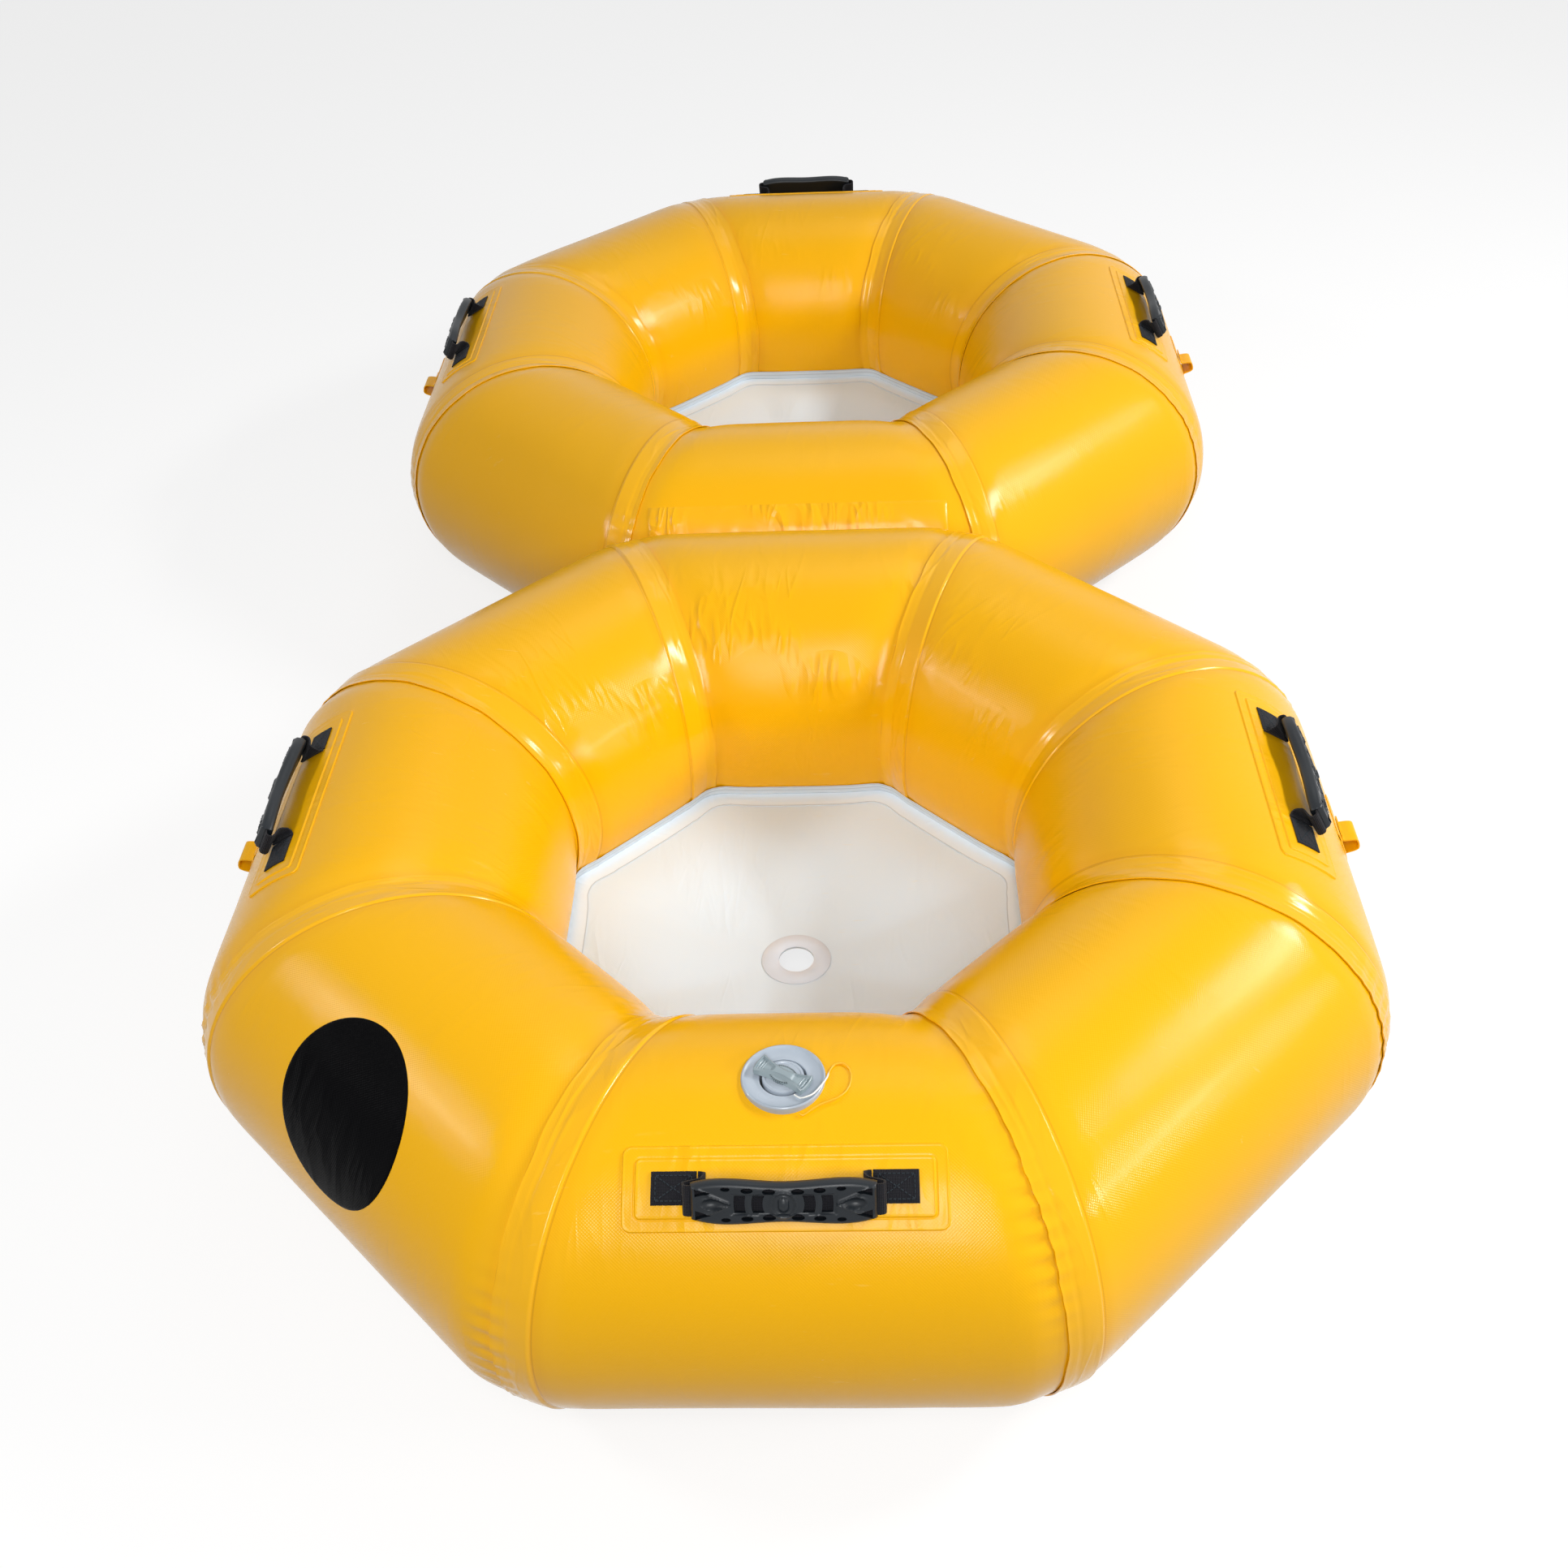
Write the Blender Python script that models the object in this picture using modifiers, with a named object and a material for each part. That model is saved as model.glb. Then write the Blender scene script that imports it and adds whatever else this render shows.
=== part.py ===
"""River tube: two octagonal inflated rings joined in line, with floors, handles, tie loops and a valve.

Lengths are in metres and angles in degrees. +Z is up and +Y runs from the front ring to the rear ring.
The origin is on the ground, midway between the rings, in the plane where they press together.
"""
import math

import bmesh
import bpy
from mathutils import Matrix, Vector

# Inflated rings
TUBE_RADIUS = 0.175
RING_APOTHEM = 0.4233
PRESS_DEPTH = 0.0294
TUBE_FACETS = 24
FABRIC = 0.0012
LAP_WIDTH = 0.038
LAP_THICKNESS = 0.0012
GAP = 0.0003

# Strips in the valleys between the rings
STRIP_LENGTH = 0.398
STRIP_THICKNESS = 0.0015
STRIP_TOP_ANGLE = 51.0

# Floors
FLOOR_HEIGHT = 0.0968
FLOOR_THICKNESS = 0.002
FLOOR_SAG = 0.026
FLOOR_EDGE = 0.026
FLOOR_FLAT_DIAMETER = 0.085
FLOOR_TAPE_WIDTH = 0.024
FLOOR_TAPE_THICKNESS = 0.001
FLOOR_TAPE_RISE = 0.017
DRAIN_HOLE_DIAMETER = 0.040
DRAIN_RING_DIAMETER = 0.079
DRAIN_RING_THICKNESS = 0.0008

# Handle patches, with the sewn ends of the webbing
HANDLE_ANGLE = 57.5
PATCH_LENGTH = 0.271
PATCH_WIDTH = 0.071
PATCH_CORNER = 0.009
PATCH_THICKNESS = 0.0012
PANEL_LENGTH = 0.247
PANEL_WIDTH = 0.048
PANEL_THICKNESS = 0.001
WEBBING_WIDTH = 0.027
WEBBING_THICKNESS = 0.002
WEBBING_END_LENGTH = 0.038
WEBBING_SPAN = 0.220
FRONT_HANDLE_SHIFT = 0.009

# Grips and the straps through them
GRIP_LENGTH = 0.152
GRIP_END_WIDTH = 0.030
GRIP_BELLY_WIDTH = 0.038
GRIP_WAIST_WIDTH = 0.033
GRIP_THICKNESS = 0.013
GRIP_BOW = 0.003
GRIP_DROP = 0.012
GRIP_HEIGHT = 0.013
GRIP_LEAN = 33.0
GRIP_SLOT_CLEARANCE = 0.0005
GRIP_WINDOW_HEIGHT = 0.016
GRIP_WINDOW_WIDTH = 0.008
GRIP_WINDOW_RADII = (0.0215, 0.0360)
GRIP_HOLES = (
    (0.0117, 0.0094, 0.0104, 0.0053),
    (0.0295, 0.0100, 0.0098, 0.0049),
    (0.0470, 0.0113, 0.0075, 0.0040),
)
GRIP_CORNER_CUT = ((0.0705, 0.0118), (0.0705, 0.0075), (0.0580, 0.0092))

# Tie loops on the outer sides
LOOP_ANGLE = 17.0
LOOP_SHIFT = 0.021
LOOP_PATCH_LENGTH = 0.075
LOOP_PATCH_WIDTH = 0.062
LOOP_PATCH_THICKNESS = 0.0012
LOOP_WIDTH = 0.031
LOOP_HEIGHT = 0.017
LOOP_BASE = 0.019
LOOP_CROWN = 0.008
LOOP_FOOT = 0.009
LOOP_THICKNESS = 0.0018

# Inflation valve
VALVE_SHIFT = 0.0067
VALVE_SIDES = 24
FLANGE_DIAMETER = 0.073
FLANGE_RIM_HEIGHT = 0.0036
FLANGE_DISH_HEIGHT = 0.0016
COLLAR_DIAMETER = 0.048
COLLAR_DEPTH = 0.027
BORE_DIAMETER = 0.0406
SLEEVE_DEPTH = 0.006
SLEEVE_BORE_DIAMETER = 0.0344
SEAT_DEPTH = 0.020
SEAT_THICKNESS = 0.002
FLOW_HOLE_DIAMETER = 0.0085
FLOW_HOLE_CIRCLE = 0.0105
FLOW_HOLES = 6
PLUG_DIAMETER = 0.0366
PLUG_HEIGHT = 0.003
PLUG_SKIRT_DIAMETER = 0.030
PLUG_SKIRT_DEPTH = 0.012
KNOB_LENGTH = 0.052
KNOB_END_WIDTH = 0.021
KNOB_WAIST_WIDTH = 0.010
KNOB_HEIGHT = 0.0075
KNOB_TEETH = 6
KNOB_TOOTH_DEPTH = 0.0008
KNOB_HEADING = -31.0
WASHER_THICKNESS = 0.0016
FLAP_DIAMETER = 0.031
FLAP_THICKNESS = 0.001
FLAP_STEM_DIAMETER = 0.0038
FLAP_HEAD_DIAMETER = 0.0076
FLAP_HEAD_THICKNESS = 0.0015
STEM_CLEARANCE = 0.0003
NUT_DIAMETER = 0.066
NUT_DEPTH = 0.012

# Tether: diameter, and its route about the valve's centre (x along the tube, y inwards, z up from the tube)
TETHER_DIAMETER = 0.0016
TETHER_ROUTE = (
    (0.0100, -0.0205, 0.0028),
    (0.0150, -0.0247, 0.0032),
    (0.0205, -0.0248, 0.0050),
    (0.0265, -0.0212, 0.0050),
    (0.0330, -0.0120, 0.0048),
    (0.0376, -0.0020, 0.0030),
    (0.0400, 0.0070, 0.0013),
    (0.0440, 0.0140, 0.0013),
    (0.0515, 0.0150, 0.0013),
    (0.0570, 0.0080, 0.0013),
    (0.0580, -0.0040, 0.0013),
    (0.0540, -0.0160, 0.0013),
    (0.0450, -0.0245, 0.0017),
    (0.0330, -0.0290, 0.0006),
    (0.0240, -0.0345, -0.0010),
    (0.0175, -0.0390, -0.0022),
    (0.0142, -0.0372, -0.0018),
)

# Worked out from the sizes above
RING_SPACING = 2.0 * (RING_APOTHEM + TUBE_RADIUS - PRESS_DEPTH)
PLACES = ("front", "front_right", "right", "back_right", "back", "back_left", "left", "front_left")
RINGS = {"front": -1, "rear": 1}
HALF_TURN = math.pi / len(PLACES)
FACET = 2.0 * math.pi / TUBE_FACETS
LAP_STAND = GAP + LAP_THICKNESS
TUBE_AXIS_HEIGHT = TUBE_RADIUS + LAP_STAND
LAP_REACH = LAP_WIDTH / 2.0
PRESSED_REACH = (RING_APOTHEM + TUBE_RADIUS - RING_SPACING / 2.0 + LAP_STAND) / math.sin(2.0 * HALF_TURN)
PATCH_TOP = GAP + PATCH_THICKNESS
PANEL_TOP = PATCH_TOP + PANEL_THICKNESS
WEBBING_TOP = PANEL_TOP + WEBBING_THICKNESS
SLAB_BITE = 0.0006
SEAT_TOP = -SEAT_DEPTH - GAP
SEAT_LOW = SEAT_TOP - SEAT_THICKNESS
WEBBING_END_OFFSET = (WEBBING_SPAN - WEBBING_END_LENGTH) / 2.0
FOLD_OFFSET = WEBBING_SPAN / 2.0 - WEBBING_END_LENGTH

# Colours and finishes
YELLOW = ("yellow_fabric", (0.93, 0.50, 0.03, 1.0), 0.42, 0.0)
WHITE = ("white_fabric", (0.83, 0.83, 0.86, 1.0), 0.5, 0.0)
CLEAR = ("milky_film", (0.72, 0.72, 0.75, 1.0), 0.35, 0.0)
WEBBING = ("black_webbing", (0.012, 0.012, 0.014, 1.0), 0.85, 0.0)
MOULDED = ("black_moulding", (0.022, 0.026, 0.03, 1.0), 0.5, 0.0)
GREY = ("grey_plastic", (0.42, 0.43, 0.44, 1.0), 0.45, 0.0)
RUBBER = ("black_rubber", (0.03, 0.03, 0.03, 1.0), 0.7, 0.0)
CORD = ("white_cord", (0.85, 0.85, 0.82, 1.0), 0.5, 0.0)


def clear_scene():
    """Empties the file of its starting objects."""
    for thing in list(bpy.data.objects):
        bpy.data.objects.remove(thing, do_unlink=True)


def new_collection(name):
    """Makes a collection in the scene."""
    group = bpy.data.collections.new(name)
    bpy.context.scene.collection.children.link(group)
    return group


def material(finish):
    """Gives the material of a finish, made once."""
    name, colour, roughness, metallic = finish
    found = bpy.data.materials.get(name)
    if found:
        return found
    made = bpy.data.materials.new(name)
    made.use_nodes = True
    shader = made.node_tree.nodes["Principled BSDF"]
    shader.inputs["Base Color"].default_value = colour
    shader.inputs["Roughness"].default_value = roughness
    shader.inputs["Metallic"].default_value = metallic
    made.diffuse_color = colour
    return made


def finish_mesh(name, shape, finish=None):
    """Turns a bmesh into a mesh that is smooth between its sharp edges."""
    mesh = bpy.data.meshes.new(name)
    shape.to_mesh(mesh)
    shape.free()
    if finish:
        mesh.materials.append(material(finish))
    mesh.shade_smooth()
    mesh.set_sharp_from_angle(angle=math.radians(30.0))
    return mesh


def place_piece(name, mesh, frame=Matrix.Identity(4)):
    """Adds a piece of the tube at a frame."""
    piece = bpy.data.objects.new(name, mesh)
    parts.objects.link(piece)
    piece.matrix_world = frame
    return piece


def place_cutter(name, mesh, frame=Matrix.Identity(4)):
    """Adds a shape that only cuts or joins, which isn't a piece."""
    cutter = bpy.data.objects.new(name, mesh)
    cutters.objects.link(cutter)
    cutter.matrix_world = frame
    cutter.hide_render = True
    cutter.display_type = "WIRE"
    return cutter


def combine(target, tool, operation):
    """Cuts, joins or intersects one object with another by a live modifier."""
    change = target.modifiers.new(operation.lower(), "BOOLEAN")
    change.operation = operation
    change.solver = "EXACT"
    change.object = tool


def settled_mesh(name, source):
    """Copies an object's mesh with its modifiers worked out."""
    graph = bpy.context.evaluated_depsgraph_get()
    mesh = bpy.data.meshes.new_from_object(source.evaluated_get(graph), depsgraph=graph)
    mesh.name = name
    mesh.set_sharp_from_angle(angle=math.radians(30.0))
    return mesh


def side_frame(ring, side):
    """Frame on a tube's axis at its middle: x out of the ring, y along the tube, z up."""
    heading = -math.pi / 2.0 + 2.0 * HALF_TURN * side
    middle = Vector((0.0, RINGS[ring] * RING_SPACING / 2.0, TUBE_AXIS_HEIGHT))
    turn = Matrix.Rotation(heading, 4, "Z")
    return Matrix.Translation(middle) @ turn @ Matrix.Translation((RING_APOTHEM, 0.0, 0.0))


def flat_reach(radius, angle):
    """Distance from the tube's axis to a faceted skin whose flats are a radius away."""
    off_flat = (angle + FACET / 2.0) % FACET - FACET / 2.0
    return radius / math.cos(off_flat)


def skin_point(along, angle, height):
    """Point at a height over the tube's flats, in the side's frame."""
    reach = flat_reach(TUBE_RADIUS + height, angle)
    return Vector((reach * math.cos(angle), along, reach * math.sin(angle)))


def flat_angle(angle):
    """Angle of the flat that an angle falls on."""
    return round(angle / FACET) * FACET


def pressed(point, ring, height):
    """Keeps a point of a ring on its own side of the plane where the rings press together."""
    limit = GAP / 2.0 + LAP_STAND - height
    if RINGS[ring] * point.y < limit:
        point.y = RINGS[ring] * limit
    return point


def mitre_loop(ring, side, end, inset, height):
    """Loop of a tube's skin, parallel to the mitre at one end and set in from it along the tube."""
    frame = side_frame(ring, side)
    reach = (TUBE_RADIUS + height) / math.cos(FACET / 2.0)
    loop = []
    for corner in range(TUBE_FACETS):
        angle = (corner + 0.5) * FACET
        out = reach * math.cos(angle)
        along = end * ((RING_APOTHEM + out) * math.tan(HALF_TURN) - inset)
        loop.append(pressed(frame @ Vector((out, along, reach * math.sin(angle))), ring, height))
    return loop


def skin_between(shape, row, following):
    """Skins two equal loops, each four-sided cell split across its shorter diagonal where it isn't flat."""
    for index, first in enumerate(row):
        beside = (index + 1) % len(row)
        second, third, fourth = row[beside], following[beside], following[index]
        side = second.co - first.co
        other = fourth.co - first.co
        lean = side.cross(other)
        off_flat = lean.dot(third.co - first.co) / max(lean.length, 1e-12)
        if abs(off_flat) < 0.00001:
            shape.faces.new((first, second, third, fourth))
        elif (third.co - first.co).length < (fourth.co - second.co).length:
            shape.faces.new((first, second, third))
            shape.faces.new((first, third, fourth))
        else:
            shape.faces.new((first, second, fourth))
            shape.faces.new((second, third, fourth))


def closed_loft(loops):
    """Skins a row of equal loops, the last joined to the first, into one closed body."""
    shape = bmesh.new()
    rows = [[shape.verts.new(point) for point in loop] for loop in loops]
    for row, following in zip(rows, rows[1:] + rows[:1]):
        skin_between(shape, row, following)
    bmesh.ops.recalc_face_normals(shape, faces=shape.faces)
    return shape


def capped_loft(loops):
    """Skins a row of equal loops into one closed body with a flat cap at each end."""
    shape = bmesh.new()
    rows = [[shape.verts.new(point) for point in loop] for loop in loops]
    for row, following in zip(rows, rows[1:]):
        skin_between(shape, row, following)
    shape.faces.new(rows[0])
    shape.faces.new(rows[-1])
    bmesh.ops.recalc_face_normals(shape, faces=shape.faces)
    return shape


def extruded(outline, offset):
    """Extrudes a flat outline by an offset into one closed body."""
    shape = bmesh.new()
    face = shape.faces.new([shape.verts.new(point) for point in outline])
    grown = bmesh.ops.extrude_face_region(shape, geom=[face])
    moved = [item for item in grown["geom"] if isinstance(item, bmesh.types.BMVert)]
    bmesh.ops.translate(shape, verts=moved, vec=offset)
    bmesh.ops.recalc_face_normals(shape, faces=shape.faces)
    return shape


def turned(name, profile, sides, finish=None, frame=Matrix.Identity(4), piece=False):
    """Turns a profile of (radius, height) points about Z with a Screw modifier, outer side first."""
    shape = bmesh.new()
    points = [shape.verts.new((radius, 0.0, height)) for radius, height in profile]
    for first, second in zip(points, points[1:]):
        shape.edges.new((first, second))
    if profile[0][0] > 0.0:
        shape.edges.new((points[-1], points[0]))
    mesh = bpy.data.meshes.new(name)
    shape.to_mesh(mesh)
    shape.free()
    if finish:
        mesh.materials.append(material(finish))
    put = place_piece if piece else place_cutter
    body = put(name, mesh, frame)
    screw = body.modifiers.new("turn", "SCREW")
    screw.steps = sides
    screw.render_steps = sides
    screw.use_merge_vertices = True
    screw.merge_threshold = 0.00001
    screw.use_smooth_shade = True
    return body


def cylinder(radius, low, high, sides):
    """A closed cylinder on Z between two heights."""
    shape = bmesh.new()
    middle = Matrix.Translation((0.0, 0.0, (low + high) / 2.0))
    bmesh.ops.create_cone(
        shape, cap_ends=True, segments=sides, radius1=radius, radius2=radius, depth=high - low, matrix=middle
    )
    return shape


def wrapped_slab(shift, angle, length, width, low, high, corner=0.0):
    """A plate with rounded corners, wrapped on the faceted skin of a tube between two heights."""
    shape = bmesh.new()
    bmesh.ops.create_grid(shape, x_segments=1, y_segments=1, size=0.5)
    bmesh.ops.scale(shape, verts=shape.verts, vec=(length, width, 1.0))
    if corner > 0.0:
        bmesh.ops.bevel(
            shape, geom=shape.verts[:], offset=corner, segments=3, profile=0.5, affect="VERTICES"
        )
    grown = bmesh.ops.extrude_face_region(shape, geom=shape.faces[:])
    risen = [item for item in grown["geom"] if isinstance(item, bmesh.types.BMVert)]
    bmesh.ops.translate(shape, verts=risen, vec=(0.0, 0.0, high - low))
    edge = math.ceil((angle - width / 2.0 / TUBE_RADIUS) / FACET - 0.5) + 0.5
    while edge * FACET < angle + width / 2.0 / TUBE_RADIUS:
        line = (0.0, (edge * FACET - angle) * TUBE_RADIUS, 0.0)
        everything = shape.verts[:] + shape.edges[:] + shape.faces[:]
        bmesh.ops.bisect_plane(shape, geom=everything, dist=0.00001, plane_co=line, plane_no=(0.0, 1.0, 0.0))
        edge += 1.0
    for vert in shape.verts:
        x, y, z = vert.co
        vert.co = skin_point(shift + x, angle + y / TUBE_RADIUS, low + z)
    bmesh.ops.recalc_face_normals(shape, faces=shape.faces)
    return shape


def skin_prism(length, height):
    """A prism along Y with the tube's facets, whose flats are a height over the tube's."""
    shape = bmesh.new()
    reach = (TUBE_RADIUS + height) / math.cos(FACET / 2.0)
    bmesh.ops.create_cone(
        shape, cap_ends=True, segments=TUBE_FACETS, radius1=reach, radius2=reach, depth=length,
        matrix=Matrix.Rotation(math.pi / 2.0, 4, "X") @ Matrix.Rotation(FACET / 2.0, 4, "Z"),
    )
    return shape


def make_tubes():
    """Sixteen mitred fabric tubes, each an open shell whose far end laps over the next tube."""
    gap_inset = GAP / 2.0 / math.cos(HALF_TURN)
    for ring, sign in RINGS.items():
        contact = 4 if sign < 0 else 0
        for side, place in enumerate(PLACES):
            following = (side + 1) % len(PLACES)
            starts = [gap_inset]
            ends = [LAP_REACH]
            if side == (contact + 1) % len(PLACES):
                starts += [LAP_REACH, PRESSED_REACH]
            if following == contact:
                ends = [PRESSED_REACH] + ends
            outside = [mitre_loop(ring, side, -1, inset, 0.0) for inset in starts]
            outside += [mitre_loop(ring, side, 1, inset, 0.0) for inset in ends]
            band = [mitre_loop(ring, side, 1, LAP_REACH, LAP_STAND)]
            band += [mitre_loop(ring, side, 1, 0.0, LAP_STAND)]
            band += [mitre_loop(ring, following, -1, LAP_REACH, LAP_STAND)]
            band += [mitre_loop(ring, following, -1, LAP_REACH, GAP)]
            band += [mitre_loop(ring, side, 1, gap_inset, GAP)]
            inner_ends = [gap_inset] + ([PRESSED_REACH] if following == contact else [])
            inner_starts = ([PRESSED_REACH] if len(starts) > 1 else []) + [gap_inset]
            inside = [mitre_loop(ring, side, 1, inset, -FABRIC) for inset in inner_ends]
            inside += [mitre_loop(ring, side, -1, inset, -FABRIC) for inset in inner_starts]
            name = f"{ring}_ring_tube_{place}"
            tube = place_piece(name, finish_mesh(name, closed_loft(outside + band + inside), YELLOW))
            if (ring, place) == ("front", "front"):
                hole = cylinder(COLLAR_DIAMETER / 2.0 + GAP, -0.03, 0.03, VALVE_SIDES)
                cutter = place_cutter("valve_hole", finish_mesh("valve_hole", hole), valve_frame())
                combine(tube, cutter, "DIFFERENCE")


def make_joining_strips():
    """Strips along the valleys above and below the line where the two rings press together."""
    half_gap = RING_SPACING / 2.0 - RING_APOTHEM
    corner = (math.floor(math.acos(half_gap / TUBE_RADIUS) / FACET - 0.5) + 0.5) * FACET
    end = math.radians(STRIP_TOP_ANGLE)
    for name, sign in (("top_joining_strip", 1.0), ("bottom_joining_strip", -1.0)):
        sections = []
        for height in (GAP + STRIP_THICKNESS, GAP):
            flat = flat_angle(math.acos(half_gap / TUBE_RADIUS))
            valley = ((TUBE_RADIUS + height) - half_gap * math.cos(flat)) / math.sin(flat)
            angles = [end]
            edge = corner + FACET
            while edge < end:
                angles.insert(len(angles) - 1, edge)
                edge += FACET
            wing = []
            for angle in angles:
                point = skin_point(0.0, angle, height)
                wing.append((half_gap - point.x, point.z))
            row = [(-y, z) for y, z in reversed(wing)] + [(0.0, valley)] + wing
            sections.append(row if height > GAP else row[::-1])
        section = sections[0] + sections[1]
        outline = [Vector((-STRIP_LENGTH / 2.0, y, TUBE_AXIS_HEIGHT + sign * z)) for y, z in section]
        shape = extruded(outline, (STRIP_LENGTH, 0.0, 0.0))
        place_piece(name, finish_mesh(name, shape, YELLOW))


def wall_reach(height):
    """Distance from a ring's centre to the inner wall of its tubes at a height over the ground."""
    rise = height - TUBE_AXIS_HEIGHT
    angle = math.asin(max(-1.0, min(1.0, rise / TUBE_RADIUS)))
    for _ in range(8):
        angle = math.asin(rise / flat_reach(TUBE_RADIUS, angle))
    return RING_APOTHEM - flat_reach(TUBE_RADIUS, angle) * math.cos(angle)


def wall_row(ring, depth, height):
    """Row of points round a ring's inner wall, a depth off it, stepping in over each lap band."""
    reach = wall_reach(height)
    beside_band = LAP_REACH + GAP
    clear_of_band = beside_band + 2.0 * LAP_STAND
    row = []
    for side in range(len(PLACES)):
        frame = side_frame(ring, side)
        stations = (
            (-1, beside_band, LAP_STAND),
            (-1, clear_of_band, 0.0),
            (1, clear_of_band, 0.0),
            (1, beside_band, LAP_STAND),
            (1, 0.0, LAP_STAND),
        )
        for end, inset, stand in stations:
            away = reach - depth - stand
            along = end * (away * math.tan(HALF_TURN) - inset)
            row.append(frame @ Vector((away - RING_APOTHEM, along, height - TUBE_AXIS_HEIGHT)))
    return row


def dished_row(ring, share, lower):
    """Row round the sagging floor: share 0 runs beside the tape, share 1 round the flat at the hole."""
    sag = FLOOR_SAG * share ** 2 * (3.0 - 2.0 * share)
    centre = Vector((0.0, RINGS[ring] * RING_SPACING / 2.0, FLOOR_HEIGHT - lower - sag))
    outer = wall_row(ring, FLOOR_EDGE, FLOOR_HEIGHT)
    flat = circle_row(centre, FLOOR_FLAT_DIAMETER / 2.0, len(outer))
    row = []
    for start, end in zip(outer, flat):
        spot = start.lerp(end, share)
        row.append(Vector((spot.x, spot.y, centre.z)))
    return row


def circle_row(centre, radius, count):
    """Row of evenly spaced points round a level circle, matched to the points of a wall row."""
    step = 2.0 * math.pi / count
    first = -math.pi / 2.0 + HALF_TURN - (count // len(PLACES) - 1) * step
    turns = [first + index * step for index in range(count)]
    return [centre + Vector((radius * math.cos(turn), radius * math.sin(turn), 0.0)) for turn in turns]


def floor_mesh(ring):
    """The floor sheet: level under its tape, then sagging to a flat round the drain hole."""
    shares = (0.0, 1.0 / 3.0, 2.0 / 3.0, 1.0)
    centre = Vector((0.0, RINGS[ring] * RING_SPACING / 2.0, FLOOR_HEIGHT - FLOOR_SAG))
    top = [wall_row(ring, GAP, FLOOR_HEIGHT)] + [dished_row(ring, share, 0.0) for share in shares]
    top.append(circle_row(centre, DRAIN_HOLE_DIAMETER / 2.0, len(top[0])))
    centre.z -= FLOOR_THICKNESS
    under = [wall_row(ring, GAP, FLOOR_HEIGHT - FLOOR_THICKNESS)]
    under += [dished_row(ring, share, FLOOR_THICKNESS) for share in shares]
    under.append(circle_row(centre, DRAIN_HOLE_DIAMETER / 2.0, len(top[0])))
    return finish_mesh(f"{ring}_ring_floor", closed_loft(top + under[::-1]), WHITE)


def make_floors():
    """Floor sheets with their drain holes, the tapes round their edges and the rings round the holes."""
    rise_angle = math.asin((FLOOR_HEIGHT - TUBE_AXIS_HEIGHT) / TUBE_RADIUS)
    bend_angle = (math.floor(rise_angle / FACET - 0.5) + 1.5) * FACET
    bend = TUBE_AXIS_HEIGHT + flat_reach(TUBE_RADIUS, bend_angle) * math.sin(bend_angle)
    tape_low = FLOOR_HEIGHT + GAP
    tape_high = tape_low + FLOOR_TAPE_THICKNESS
    tape_top = FLOOR_HEIGHT + FLOOR_TAPE_RISE
    rise = [tape_high] + ([bend] if tape_high < bend < tape_top else []) + [tape_top]
    tape_profile = [(GAP, tape_low)] + [(GAP, level) for level in rise[1:]]
    tape_profile += [(GAP + FLOOR_TAPE_THICKNESS, level) for level in reversed(rise)]
    tape_profile += [(FLOOR_TAPE_WIDTH, tape_high), (FLOOR_TAPE_WIDTH, tape_low)]
    for ring, sign in RINGS.items():
        middle = Matrix.Translation((0.0, sign * RING_SPACING / 2.0, 0.0))
        place_piece(f"{ring}_ring_floor", floor_mesh(ring))
        rows = [wall_row(ring, depth, height) for depth, height in tape_profile]
        tape = closed_loft([list(section) for section in zip(*rows)])
        place_piece(f"{ring}_ring_floor_tape", finish_mesh(f"{ring}_ring_floor_tape", tape, WHITE))
        ring_low = FLOOR_HEIGHT - FLOOR_SAG + GAP
        ring_high = ring_low + DRAIN_RING_THICKNESS
        ring_profile = (
            (DRAIN_RING_DIAMETER / 2.0, ring_high),
            (DRAIN_RING_DIAMETER / 2.0, ring_low),
            (DRAIN_HOLE_DIAMETER / 2.0, ring_low),
            (DRAIN_HOLE_DIAMETER / 2.0, ring_high),
        )
        turned(f"{ring}_ring_drain_ring", ring_profile, VALVE_SIDES, CLEAR, middle, piece=True)


def handle_patch_mesh():
    """The welded patch, its raised panel and the two sewn ends of the webbing, as one body."""
    angle = math.radians(HANDLE_ANGLE)
    patch = wrapped_slab(0.0, angle, PATCH_LENGTH, PATCH_WIDTH, GAP, PATCH_TOP, PATCH_CORNER)
    body = place_cutter("patch_body", finish_mesh("handle_patch", patch, YELLOW))
    panel = wrapped_slab(0.0, angle, PANEL_LENGTH, PANEL_WIDTH, PATCH_TOP - SLAB_BITE, PANEL_TOP)
    combine(body, place_cutter("patch_panel", finish_mesh("patch_panel", panel, YELLOW)), "UNION")
    for name, sign in (("first_end", -1.0), ("second_end", 1.0)):
        sewn = wrapped_slab(
            sign * WEBBING_END_OFFSET, angle, WEBBING_END_LENGTH, WEBBING_WIDTH,
            PANEL_TOP - SLAB_BITE, WEBBING_TOP,
        )
        combine(body, place_cutter(name, finish_mesh(name, sewn, WEBBING)), "UNION")
    return settled_mesh("handle_patch", body)


def pivot_frame():
    """Frame on the fold of the webbing, in the side's frame: x along the tube, y up its slope, z off it."""
    angle = math.radians(HANDLE_ANGLE)
    flat = flat_angle(angle)
    origin = skin_point(0.0, angle, WEBBING_TOP)
    up_slope = Vector((-math.sin(flat), 0.0, math.cos(flat)))
    off_skin = Vector((math.cos(flat), 0.0, math.sin(flat)))
    axes = Matrix((Vector((0.0, 1.0, 0.0)), up_slope, off_skin)).transposed().to_4x4()
    return Matrix.Translation(origin) @ axes


def grip_frame():
    """Frame at the middle of the grip, in the pivot's frame: x along it, y across it, z out of its face."""
    lean = Matrix.Rotation(math.radians(GRIP_LEAN), 4, "X")
    return Matrix.Translation((0.0, -GRIP_DROP, GRIP_HEIGHT)) @ lean


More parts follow.
